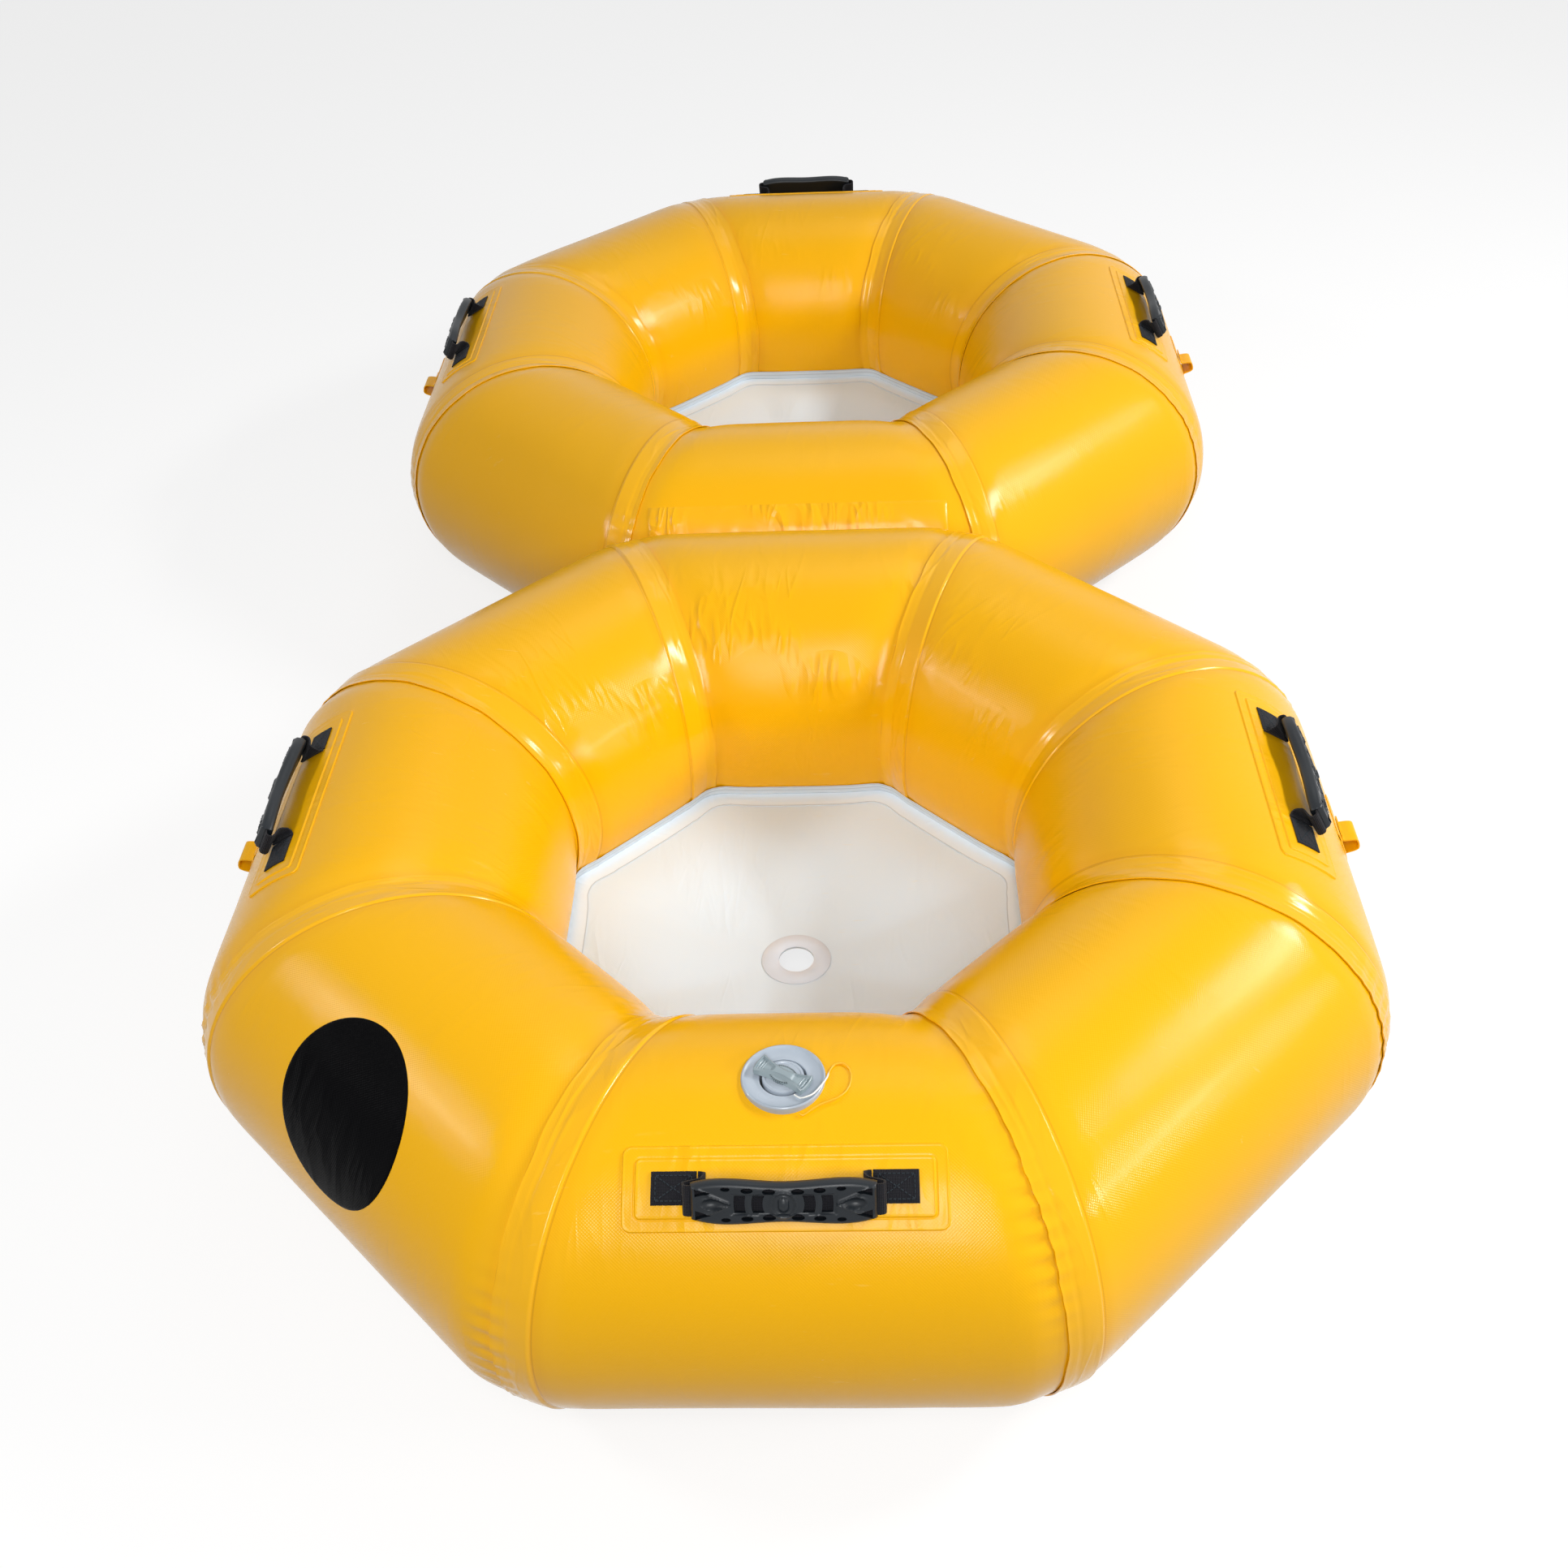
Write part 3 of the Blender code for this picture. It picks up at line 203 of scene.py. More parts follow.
def open_all(piece):
    """Opens a piece in edit mode with all of it selected."""
    take(piece)
    bpy.ops.object.mode_set(mode="EDIT")
    bpy.ops.mesh.select_all(action="SELECT")


def close_outwards():
    """Turns the faces of the piece in edit mode outwards and leaves it."""
    bpy.ops.mesh.select_all(action="SELECT")
    bpy.ops.mesh.normals_make_consistent(inside=False)
    bpy.ops.object.mode_set(mode="OBJECT")


def select_in_edit(piece, mode, test):
    """Selects the vertices, edges or faces of the piece in edit mode that pass a test."""
    bpy.ops.mesh.select_mode(type=mode)
    bpy.ops.mesh.select_all(action="DESELECT")
    shape = bmesh.from_edit_mesh(piece.data)
    for item in {"VERT": shape.verts, "EDGE": shape.edges, "FACE": shape.faces}[mode]:
        if test(item):
            item.select_set(True)
    shape.select_flush_mode()
    bmesh.update_edit_mesh(piece.data)


def duplicate(piece, name):
    """Copies a piece with its own mesh."""
    copy = piece.copy()
    copy.data = piece.data.copy()
    copy.name = name
    copy.data.name = name
    bpy.context.scene.collection.objects.link(copy)
    return copy


def modify(piece, kind, **settings):
    """Adds a modifier to a piece and applies it."""
    take(piece)
    change = piece.modifiers.new(kind.lower(), kind)
    for name, value in settings.items():
        setattr(change, name, value)
    bpy.ops.object.modifier_apply(modifier=change.name)


def smooth(piece, degrees=35.0):
    """Shades a piece smooth, except across edges sharper than an angle."""
    take(piece)
    bpy.ops.object.shade_smooth_by_angle(angle=math.radians(degrees))


def places_of(piece):
    """The piece's vertices as rows of an array."""
    spots = np.empty(len(piece.data.vertices) * 3)
    piece.data.vertices.foreach_get("co", spots)
    return spots.reshape(-1, 3)


def move_to(piece, spots):
    """Moves the piece's vertices to the rows of an array."""
    piece.data.vertices.foreach_set("co", np.ascontiguousarray(spots, dtype=np.float32).ravel())
    piece.data.update()


def map_cloth(piece, along, across, wrap=0.0):
    """Gives the piece a UV map in metres, with one seam where it closes on itself."""
    mesh = piece.data
    layer = mesh.uv_layers.active or mesh.uv_layers.new(name="cloth")
    corner = np.empty(len(mesh.loops), dtype=np.int32)
    mesh.loops.foreach_get("vertex_index", corner)
    u, v = along[corner], across[corner]
    if wrap > 0.0:
        for face in mesh.polygons:
            row = slice(face.loop_start, face.loop_start + face.loop_total)
            if v[row].max() - v[row].min() > wrap / 2.0:
                v[row] = np.where(v[row] < wrap / 2.0, v[row] + wrap, v[row])
    layer.data.foreach_set("uv", np.column_stack((u, v)).astype(np.float32).ravel())


def note(piece, name, values):
    """Stores a number on each vertex for the materials to read."""
    found = piece.data.attributes.get(name) or piece.data.attributes.new(name, "FLOAT", "POINT")
    found.data.foreach_set("value", np.asarray(values, dtype=np.float32))


def dress(piece, finish, body="hull", nodes=()):
    """Gives a piece its finish and lets it ride on its body in place of the nodes it stands for."""
    piece.data.materials.clear()
    piece.data.materials.append(bpy.data.materials[finish])
    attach(piece, body)
    if nodes:
        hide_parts(*nodes)


def dress_sheet(sheet, thickness, finish, slot, *nodes, offset=-1.0):
    """Thickens a laid sheet, shades it smooth and dresses it on the hull."""
    modify(sheet, "SOLIDIFY", thickness=thickness, offset=offset)
    smooth(sheet, 50.0)
    dress(sheet, finish, nodes=nodes)


def lathe(name, profile, steps=96, capped=False):
    """Turns a profile of (radius, height) points: a circle that is extruded from point to point."""
    pick_none()
    radius, height = profile[0]
    bpy.ops.mesh.primitive_circle_add(
        vertices=steps, radius=radius, location=(0.0, 0.0, height), fill_type="NGON" if capped else "NOTHING"
    )
    piece = named(name)
    open_all(piece)
    bpy.ops.mesh.select_mode(type="EDGE")
    for new_radius, new_height in profile[1:]:
        new_radius = max(new_radius, AXIS_RADIUS)
        bpy.ops.mesh.extrude_edges_move(TRANSFORM_OT_translate={"value": (0.0, 0.0, new_height - height)})
        ratio = new_radius / radius
        bpy.ops.transform.resize(value=(ratio, ratio, 1.0), center_override=(0.0, 0.0, new_height))
        radius, height = new_radius, new_height
    bpy.ops.mesh.select_all(action="SELECT")
    bpy.ops.mesh.remove_doubles(threshold=0.00003)
    close_outwards()
    return piece


def cylinder(name, **settings):
    """A cylinder, fixed in its place."""
    pick_none()
    bpy.ops.mesh.primitive_cylinder_add(**settings)
    return named(name)


def grid(name, cells_along, cells_across):
    """A level sheet of cells, with the shares along and across of each vertex."""
    pick_none()
    bpy.ops.mesh.primitive_grid_add(x_subdivisions=cells_along, y_subdivisions=cells_across, size=1.0)
    piece = named(name)
    spots = places_of(piece)
    return piece, spots[:, 0] + 0.5, spots[:, 1] + 0.5


# The inflated skin


def spacing(rings):
    """Distance between the centres of the two rings."""
    return 2.0 * (rings.apothem + rings.tube_radius - rings.press_depth)


def axis_height(rings):
    """Height of the tubes' axes over the ground."""
    return rings.tube_radius + rings.clearance + rings.lap_thickness


def side_frame(rings, ring, side):
    """Frame on a tube's axis at its middle: x out of the ring, y along the tube, z up."""
    middle = Matrix.Translation((0.0, RINGS[ring] * spacing(rings) / 2.0, axis_height(rings)))
    turn = Matrix.Rotation(-math.pi / 2.0 + 2.0 * HALF_TURN * side, 4, "Z")
    return middle @ turn @ Matrix.Translation((rings.apothem, 0.0, 0.0))


def relief(rings, ring, side, angle, along, inset, seam):
    """How far the skin stands off a true round: drawn in at the seams, gathered outside and softly uneven."""
    phase = 2.4 * seam + (1.7 if ring == "rear" else 0.0)
    middle = 0.30 + 0.25 * np.sin(phase * 1.3)
    strength = 0.50 + 0.25 * np.sin(phase * 1.9)
    if ring == "front":
        middle = np.where(seam == 1, 0.84, np.where(seam == 0, 0.12, middle))
        strength = np.where(seam == 1, 1.30, np.where(seam == 0, 0.85, strength))
    aside = np.mod(angle - middle + math.pi, math.tau) - math.pi
    gather_width = 0.020
    gathers = round(math.tau * rings.tube_radius / gather_width)
    bunched = np.sin(gathers * angle + phase + 1.1 * np.sin(3.0 * angle + 2.0 * phase))
    under_lap = 0.75 * hump(inset, 0.0, 0.016)
    spread = np.where(along < 0.0, under_lap, hump(inset, 0.008, 0.015))
    gather = rings.pucker * strength * hump(aside, 0.0, 0.42) * bunched * spread
    drawn = rings.pinch * hump(inset, 0.0, 0.032)
    seed = side * 3.7 + (41.0 if ring == "rear" else 0.0)
    radius = rings.tube_radius
    rows = zip(along.tolist(), (radius * np.cos(angle)).tolist(), (radius * np.sin(angle)).tolist())
    wave = np.array([
        noise.noise(Vector((seed + a * 9.0, b * 9.0, c * 9.0))) + 0.22 * noise.noise(
            Vector((seed + a * 34.0, b * 34.0, c * 34.0))
        )
        for a, b, c in rows
    ])
    return gather - drawn + rings.waviness * wave * (1.0 - hump(inset, 0.0, 0.045))


def lay_on_tube(rings, ring, side, angle, along, height):
    """Points on a tube's skin from angles round it, lengths along it and heights off it, with their
    distances from the seam."""
    angle, along, height = (np.array(part, dtype=float) for part in np.broadcast_arrays(angle, along, height))
    end = np.where(along < 0.0, -1.0, 1.0)
    radius = rings.tube_radius + rings.skin_rise
    inset = np.maximum((rings.apothem + radius * np.cos(angle)) * MITRE - np.abs(along), 0.0)
    seam = np.mod(side + (end > 0.0), len(PLACES))
    reach = radius + height + relief(rings, ring, side, angle, along, inset, seam)
    out, up = reach * np.cos(angle), reach * np.sin(angle)
    limit = (rings.apothem + out) * MITRE
    fillet = (rings.outer_round + rings.inner_round) / 2.0
    fillet = fillet + (rings.outer_round - rings.inner_round) / 2.0 * np.cos(angle)
    bend_start = limit - fillet * MITRE
    run = limit - inset
    turn = np.clip((run - bend_start) / (fillet * MITRE), 0.0, 1.0) * HALF_TURN
    run = np.where(turn > 0.0, bend_start + fillet * np.sin(turn), run)
    out = out - fillet * (1.0 - np.cos(turn))
    heading = -math.pi / 2.0 + 2.0 * HALF_TURN * side
    away = rings.apothem + out
    x = away * math.cos(heading) - end * run * math.sin(heading)
    y = away * math.sin(heading) + end * run * math.cos(heading) + RINGS[ring] * spacing(rings) / 2.0
    limit = rings.clearance * 1.5 + rings.lap_thickness - height
    over = RINGS[ring] * y - limit
    y = RINGS[ring] * (limit + 0.5 * (over + np.sqrt(over ** 2 + 0.006 ** 2)))
    return np.column_stack((x, y, axis_height(rings) + up)), inset


def lap_reach(rings, ring, side, end):
    """How far the lap at one end of a tube reaches from the mitre along that tube."""
    shift = LAP_SHIFTS[ring][side] if end > 0.0 else -LAP_SHIFTS[ring][side - 1]
    return max(rings.lap_width / 2.0 - shift, 0.0)


def from_bottom(angle):
    """Angle round a tube, counted from its underside."""
    return np.mod(angle + math.pi / 2.0, math.tau)


def open_tube(rings, name, depth, cuts, mitred=False):
    """An open cylinder along y, divided along its length and cut to a tube's two mitres where asked."""
    blank = cylinder(
        name, vertices=rings.steps_round, radius=rings.tube_radius, depth=depth, end_fill_type="NOTHING",
        rotation=(math.pi / 2.0, 0.0, 0.0),
    )
    bpy.ops.object.mode_set(mode="EDIT")
    for end in (-1.0, 1.0) if mitred else ():
        bpy.ops.mesh.select_all(action="SELECT")
        bpy.ops.mesh.bisect(
            plane_co=(-rings.apothem, 0.0, 0.0),
            plane_no=(-math.sin(HALF_TURN), end * math.cos(HALF_TURN), 0.0),
            clear_outer=True,
        )
    select_in_edit(blank, "EDGE", lambda edge: abs(edge.verts[0].co.y - edge.verts[1].co.y) > 0.01)
    bpy.ops.mesh.subdivide(number_cuts=cuts)
    close_outwards()
    return blank


def wrap_on_tube(piece, rings, ring, side, spots_along, spots_angle, heights):
    """Lays a flat piece on a tube and maps its cloth."""
    spots, _ = lay_on_tube(rings, ring, side, spots_angle, spots_along, heights)
    move_to(piece, spots)
    map_cloth(piece, spots_along, spots_angle * rings.tube_radius)


def rounded(x, y, half_length, half_width, corner):
    """Narrows the ends of a rectangle to its rounded corners."""
    past = np.clip(np.abs(x) - (half_length - corner), 0.0, corner)
    width = half_width - corner + np.sqrt(corner ** 2 - past ** 2)
    return x, y * width / half_width


def from_edge(x, y, half_length, half_width, corner):
    """Distance from the edge of a rectangle with rounded corners, negative inside it."""
    past_x = np.abs(x) - (half_length - corner)
    past_y = np.abs(y) - (half_width - corner)
    outside = np.hypot(np.maximum(past_x, 0.0), np.maximum(past_y, 0.0))
    return outside + np.minimum(np.maximum(past_x, past_y), 0.0) - corner


def crowded(share, half, lines, boost=9.0, reach=0.0030):
    """Places from -half to half for shares from 0 to 1, crowded beside the given lines."""
    sample = np.linspace(-half, half, 2001)
    weight = 1.0 + boost * sum(hump(np.abs(sample), line, reach) for line in lines)
    total = np.cumsum(weight)
    return np.interp(share, (total - total[0]) / (total[-1] - total[0]), sample)


def hump(value, middle, width):
    """A smooth hump of height 1 about a middle, down to 1 / e at its width aside."""
    return np.exp(-(((value - middle) / width) ** 2))


def eased(value):
    """A smooth step from 0 to 1."""
    value = np.clip(value, 0.0, 1.0)
    return value * value * (3.0 - 2.0 * value)


# Finishes


class Value:
    """A shader value. Arithmetic on it adds Math nodes to its tree."""

    def __init__(self, socket):
        self.socket = socket
        self.tree = socket.id_data

    def __sub__(self, other):
        return combine("SUBTRACT", self, other)

    def __rsub__(self, other):
        return combine("SUBTRACT", other, self)

    def __mul__(self, other):
        return combine("MULTIPLY", self, other)

    def __truediv__(self, other):
        return combine("DIVIDE", self, other)

    def __abs__(self):
        return combine("ABSOLUTE", self)

    def scaled(self, factor, added):
        """This value times a factor, plus another."""
        return combine("MULTIPLY_ADD", self, factor, added)

    def at_least(self, low):
        """This value, but not under another."""
        return combine("MAXIMUM", self, low)

    def at_most(self, high):
        """This value, but not over another."""
        return combine("MINIMUM", self, high)


def add_node(tree, kind, feeds=(), **settings):
    """Adds a node with its settings and feeds its sockets with values, numbers, vectors and colours."""
    made = tree.nodes.new(kind)
    for name, value in settings.items():
        setattr(made, name, value)
    for name, value in dict(feeds).items():
        if isinstance(value, Value):
            tree.links.new(value.socket, made.inputs[name])
        else:
            made.inputs[name].default_value = value
    return made


def value_of(tree, kind, output, feeds=(), **settings):
    """The value that a new node puts out."""
    return Value(add_node(tree, kind, feeds, **settings).outputs[output])


def combine(operation, *values):
    """A Math node over values and numbers."""
    tree = next(value.tree for value in values if isinstance(value, Value))
    return value_of(tree, "ShaderNodeMath", 0, enumerate(values), operation=operation)


def clouds(vector, scale, detail, **feeds):
    """The value of a Noise Texture."""
    return value_of(
        vector.tree, "ShaderNodeTexNoise", "Fac", {"Vector": vector, "Scale": scale, "Detail": detail, **feeds}
    )


def clouds_4d(vector, scale, **feeds):
    """The value of a four-dimensional Noise Texture with one octave."""
    feeds = {"Vector": vector, "Scale": scale, "Detail": 1.0, **feeds}
    return value_of(vector.tree, "ShaderNodeTexNoise", "Fac", feeds, noise_dimensions="4D")


def mapped(vector, scale, turn):
    """A vector that is scaled and turned."""
    return value_of(
        vector.tree, "ShaderNodeMapping", 0, {"Vector": vector, "Scale": scale, "Rotation": turn}
    )


def coordinates(tree, kind):
    """The piece's own coordinates: its UV map or its Object coordinates."""
    return value_of(tree, "ShaderNodeTexCoord", kind)


def noted(tree, name):
    """The number that the piece's vertices store under a name."""
    return value_of(tree, "ShaderNodeAttribute", "Fac", attribute_name=name)


def ramp(value, start, end, top=1.0):
    """A straight ramp from 0 to a top."""
    return value_of(
        value.tree, "ShaderNodeMapRange", "Result",
        {"Value": value, "From Min": start, "From Max": end, "To Max": top},
    )


def new_group(name, outputs, **numbers):
    """A node group that takes a vector and numbers: its tree and the values that flow in."""
    tree = bpy.data.node_groups.new(name, "ShaderNodeTree")
    tree.interface.new_socket("Vector", in_out="INPUT", socket_type="NodeSocketVector")
    for label, number in numbers.items():
        socket = tree.interface.new_socket(label, in_out="INPUT", socket_type="NodeSocketFloat")
        socket.default_value = number
    for label in outputs:
        tree.interface.new_socket(label, in_out="OUTPUT", socket_type="NodeSocketFloat")
    into = tree.nodes.new("NodeGroupInput")
    return tree, {label: Value(into.outputs[label]) for label in ("Vector", *numbers)}


def use_group(name, outputs, **feeds):
    """The values that a group which was built once puts out."""
    tree = feeds["Vector"].tree
    made = add_node(tree, "ShaderNodeGroup", feeds, node_tree=bpy.data.node_groups[name])
    return [Value(made.outputs[label]) for label in outputs]


def waves(tree, into, stretches):
    """Sine waves across X and Y of a cloth map at the group's pitch, each stretched."""
    split = add_node(tree, "ShaderNodeSeparateXYZ", {"Vector": into["Vector"]})
    return [
        combine("SINE", Value(split.outputs[axis]) / into["Pitch"] * (math.tau / stretch))
        for axis, stretch in zip("XY", stretches)
    ]


def weave_group():
    """Crossed threads on a cloth map, their height from 0 to 1."""
    tree, into = new_group("woven threads", ["Height"], Pitch=0.0030)
    weft, warp = waves(tree, into, (1.0, 1.0))
    add_node(tree, "NodeGroupOutput", {"Height": (weft * warp).scaled(0.5, 0.5)})


def rib_group():
    """Warp ribs of narrow webbing, crossed by finer picks."""
    tree, into = new_group("webbing ribs", ["Height"], Pitch=0.0012)
    ribs, picks = waves(tree, into, (1.0, 1.6))
    add_node(tree, "NodeGroupOutput", {"Height": picks.scaled(0.15, ribs.scaled(0.35, 0.5))})


def scuff_group():
    """Short rubbed marks and broad blotches over a surface."""
    tree, into = new_group("scuffs", ["Marks", "Blotch"], Amount=0.5)
    fine = clouds(mapped(into["Vector"], (24.0, 150.0, 60.0), (0.3, 0.2, 0.5)), 1.0, 3.0, Roughness=0.6)
    broad = clouds(into["Vector"], 4.0, 2.0)
    marks = (fine - 0.66).at_least(0.0) * 9.0
    patchy = (broad - 0.48).at_least(0.0) * 6.0
    shown = (marks * patchy * into["Amount"]).at_most(1.0)
    add_node(tree, "NodeGroupOutput", {"Marks": shown, "Blotch": broad})


def crease_group():
    """Feathered creases of handled fabric, running round the tubes, their height from 0 to 1."""
    tree, into = new_group("creases", ["Height"])
    height = 0.0
    for scale, turn, share in (((26.0, 8.0, 1.0), 0.32, 0.6), ((40.0, 12.0, 1.0), -0.45, 0.4)):
        folds = clouds_4d(mapped(into["Vector"], scale, (0.0, 0.0, turn)), 1.0, Roughness=0.4, Distortion=0.9)
        ridge = (1.0 - abs(folds - 0.5) * 9.0).at_least(0.0)
        height = ridge.scaled(share, height)
    some = (clouds_4d(into["Vector"], 8.0) - 0.47).at_least(0.0) * 8.0
    add_node(tree, "NodeGroupOutput", {"Height": height * some.at_most(1.0)})


def mixed(share, first, second):
    """A colour mixed by a value from two, each a value or a colour."""
    feeds = {0: share}
    for index, part in ((6, first), (7, second)):
        feeds[index] = part if isinstance(part, Value) else (*part, 1.0)
    return value_of(share.tree, "ShaderNodeMix", 2, feeds, data_type="RGBA")


def raised(height, distance, strength=1.0, **normal):
    """A normal from a height."""
    feeds = {"Height": height, "Strength": strength, "Distance": distance, **normal}
    return value_of(height.tree, "ShaderNodeBump", "Normal", feeds)


def new_finish(name, **constants):
    """A material with a Principled shader whose constants are set on its own sockets."""
    made = bpy.data.materials.new(name)
    made.use_nodes = True
    shader = made.node_tree.nodes["Principled BSDF"]
    for socket, value in constants.items():
        shader.inputs[socket.replace("_", " ")].default_value = value
    return made.node_tree, shader


def paint(shader, **values):
    """Links values to a shader's sockets."""
    for socket, value in values.items():
        value.tree.links.new(value.socket, shader.inputs[socket.replace("_", " ")])


def band_beside(away, start, steepness):
    """1 up to a distance from an edge, then falling to 0."""
    return (1.0 - (away - start) * steepness).at_least(0.0).at_most(1.0)


def fabric_finish(name, light, deep, weave, roughness, crease=0.5, seams=False, coat=0.03, gloss=0.17):
    """Coated fabric: woven threads under a satin coat, with scuffs and creases; on the tubes, glossier margins by
    the laps, painted shade in a strip beside each lap and a painted shadow line along each lap edge.
    """
    tree, shader = new_finish(name, Coat_Weight=coat, Coat_Roughness=0.12, Specular_IOR_Level=gloss)
    cloth, place = coordinates(tree, "UV"), coordinates(tree, "Object")
    marks, blotch = use_group("scuffs", ("Marks", "Blotch"), Vector=place, Amount=0.6)
    (height,) = use_group("woven threads", ("Height",), Vector=cloth, Pitch=0.0030)
    (folds,) = use_group("creases", ("Height",), Vector=cloth)
    base = mixed((blotch - 0.35) * 1.1 * 0.30, light, deep)
    rough = blotch.scaled(0.16, roughness - 0.08)
    if seams:
        away = noted(tree, "edge_distance")
        # Painted shade: a darker strip of deep yellow beside each lap edge, where the drawn-in skin turns away from
        # the lamps.
        base = mixed(band_beside(away, 0.006, 160.0) * 0.25, base, deep)
        # Painted shadow: a thin dark brown line along each lap edge.
        base = mixed((1.0 - abs(away) * 900.0).at_least(0.0) * 0.5, base, (0.52, 0.20, 0.001))
        margin = band_beside(away, 0.018, 90.0)
        rough = margin.scaled(-0.10, rough)
        height = height * margin.scaled(-0.45, 1.0)
        base = mixed(noted(tree, "low_side") * marks, base, (1.0, 0.66, 0.10))
        folds = folds * noted(tree, "creased")
    base = mixed(marks * 0.35, base, (1.0, 0.72, 0.22))
    rough = marks.scaled(0.12, rough)
    normal = raised(height, weave, Normal=raised(folds, 0.0045, crease))
    paint(shader, Base_Color=base, Roughness=rough, Normal=normal)
    return shader, base


def plastic_finish(name, tint, roughness, grain, grain_height, variation=0.2, **constants):
    """Moulded plastic or rubber: a fine grain and a slight change of tone and gloss."""
    tree, shader = new_finish(name, **constants)
    place = coordinates(tree, "Object")
    speck, cloud = clouds(place, grain, 3.0), clouds(place, 40.0, 2.0)
    base = mixed(cloud, tint, [part * (1.0 - variation) for part in tint])
    rough = cloud.scaled(0.14, roughness - 0.07)
    paint(shader, Base_Color=base, Roughness=rough, Normal=raised(speck, grain_height))
    return shader, base


def webbing_finish(name, tint):
    """Woven webbing: ribs that catch the light a little along their tops."""
    tree, shader = new_finish(name, Sheen_Weight=0.06, Sheen_Roughness=0.5, Specular_IOR_Level=0.15)
    cloth = coordinates(tree, "UV")
    (ribs,) = use_group("webbing ribs", ("Height",), Vector=cloth, Pitch=0.0014)
    fuzz = clouds(cloth, 2600.0, 2.0)
    base = mixed(ribs * fuzz, tint, [part * 5.0 for part in tint])
    paint(shader, Base_Color=base, Roughness=fuzz.scaled(0.2, 0.62), Normal=raised(ribs, 0.0006))


def tape_finish(name, light, deep):
    """Tape fabric, painted with shade: a grey band on its upright leg and thin dark lines along its edges, its fold
    and the groove of its upright leg.
    """
    shader, base = fabric_finish(name, light, deep, 0.00002, 0.36, 0.2)
    across = value_of(base.tree, "ShaderNodeSeparateXYZ", "Y", {"Vector": coordinates(base.tree, "UV")})
    # Painted shade: the upright leg is greyed, as it faces away from the light.
    base = mixed(ramp(across, -0.0010, -0.0030, 0.30), base, (0.42, 0.50, 0.60))
    # Painted shade: thin dark lines at the tape's inner edge, its fold, the groove of its upright leg and near its
    # top edge.
    for line, half, share in (
        (0.0232, 0.0011, 0.55), (0.0, 0.0012, 0.45), (-0.0085, 0.0014, 0.45), (-0.0160, 0.0012, 0.6),
    ):
        mark = (1.0 - abs(across - line) / half).at_least(0.0) * share
        base = mixed(mark, base, (0.22, 0.27, 0.33))
    paint(shader, Base_Color=base)


def tether_finish(name, tint, faded, place):
    """Cord that is bare near the valve and takes the fabric's colour where it lies on the tube."""
    shader, bare = plastic_finish(name, tint, 0.38, 700.0, 0.00002, 0.08, Coat_Weight=0.2)
    spot = coordinates(bare.tree, "Object")
    away = value_of(
        bare.tree, "ShaderNodeVectorMath", "Value", {0: spot, 1: place.translation}, operation="DISTANCE"
    )
    paint(shader, Base_Color=mixed(ramp(away, 0.0385, 0.0400), bare, faded))


def mirrored(tree):
    """1 for the rays that show the background: from the camera, and through metal and glass."""
    path = add_node(tree, "ShaderNodeLightPath")
    camera, glossy, through = (
        Value(path.outputs[name]) for name in ("Is Camera Ray", "Is Glossy Ray", "Is Transmission Ray")
    )
    return camera.at_least(glossy.at_least(through))


class RIVERTUBE_OT_finishes(bpy.types.Operator):
    """Make the node groups and finishes"""

    bl_idname = "river_tube.finishes"
    bl_label = "Make Finishes"

    def execute(self, context):
        tints = context.scene.river_finishes
        weave_group()
        scuff_group()
        crease_group()
        rib_group()
        yellow, deep = tuple(tints.yellow), tuple(tints.deep_yellow)
        white = tuple(tints.white)
        pale = tuple(part * 0.95 for part in white)
        fabric_finish("tube fabric", yellow, deep, 0.00011, 0.24, 1.0, seams=True)
        fabric_finish("lap fabric", yellow, deep, 0.00003, 0.18, 0.3, coat=0.2)
        fabric_finish("patch fabric", yellow, deep, 0.00006, 0.30, 0.25)
        fabric_finish("strip fabric", yellow, deep, 0.00005, 0.22, 0.8, coat=0.15)
        fabric_finish("floor fabric", white, pale, 0.00003, 0.46, 0.15)
        tape_finish("tape fabric", tuple(tints.tape), (0.66, 0.74, 0.86))
        fabric_finish(
            "black fabric", tuple(tints.black_patch), (0.006, 0.006, 0.007), 0.00025, 0.24, 0.2,
            coat=0.0, gloss=0.010,
        )
        webbing_finish("black webbing", tuple(tints.webbing))
        plastic_finish("grip moulding", tuple(tints.grip), 0.38, 900.0, 0.00008, Specular_IOR_Level=0.32)
        plastic_finish("seam thread", (0.018, 0.027, 0.034), 0.55, 2500.0, 0.00003, Specular_IOR_Level=0.2)
        knob_tint = tuple(part * share for part, share in zip(tints.valve, (0.66, 0.72, 0.68)))
        plastic_finish("knob plastic", knob_tint, 0.34, 500.0, 0.00003, Coat_Weight=0.15)
        plastic_finish("valve plastic", tuple(tints.valve), 0.30, 500.0, 0.00003, Coat_Weight=0.2)
        plastic_finish("valve rubber", tuple(tints.rubber), 0.65, 600.0, 0.00004)
        plastic_finish("drain film", tuple(tints.film), 0.34, 200.0, 0.00003, 0.08, Coat_Weight=0.3)
        tether_finish("tether cord", tuple(tints.tether), yellow, valve_frame(context.scene.river_rings))
        return {"FINISHED"}


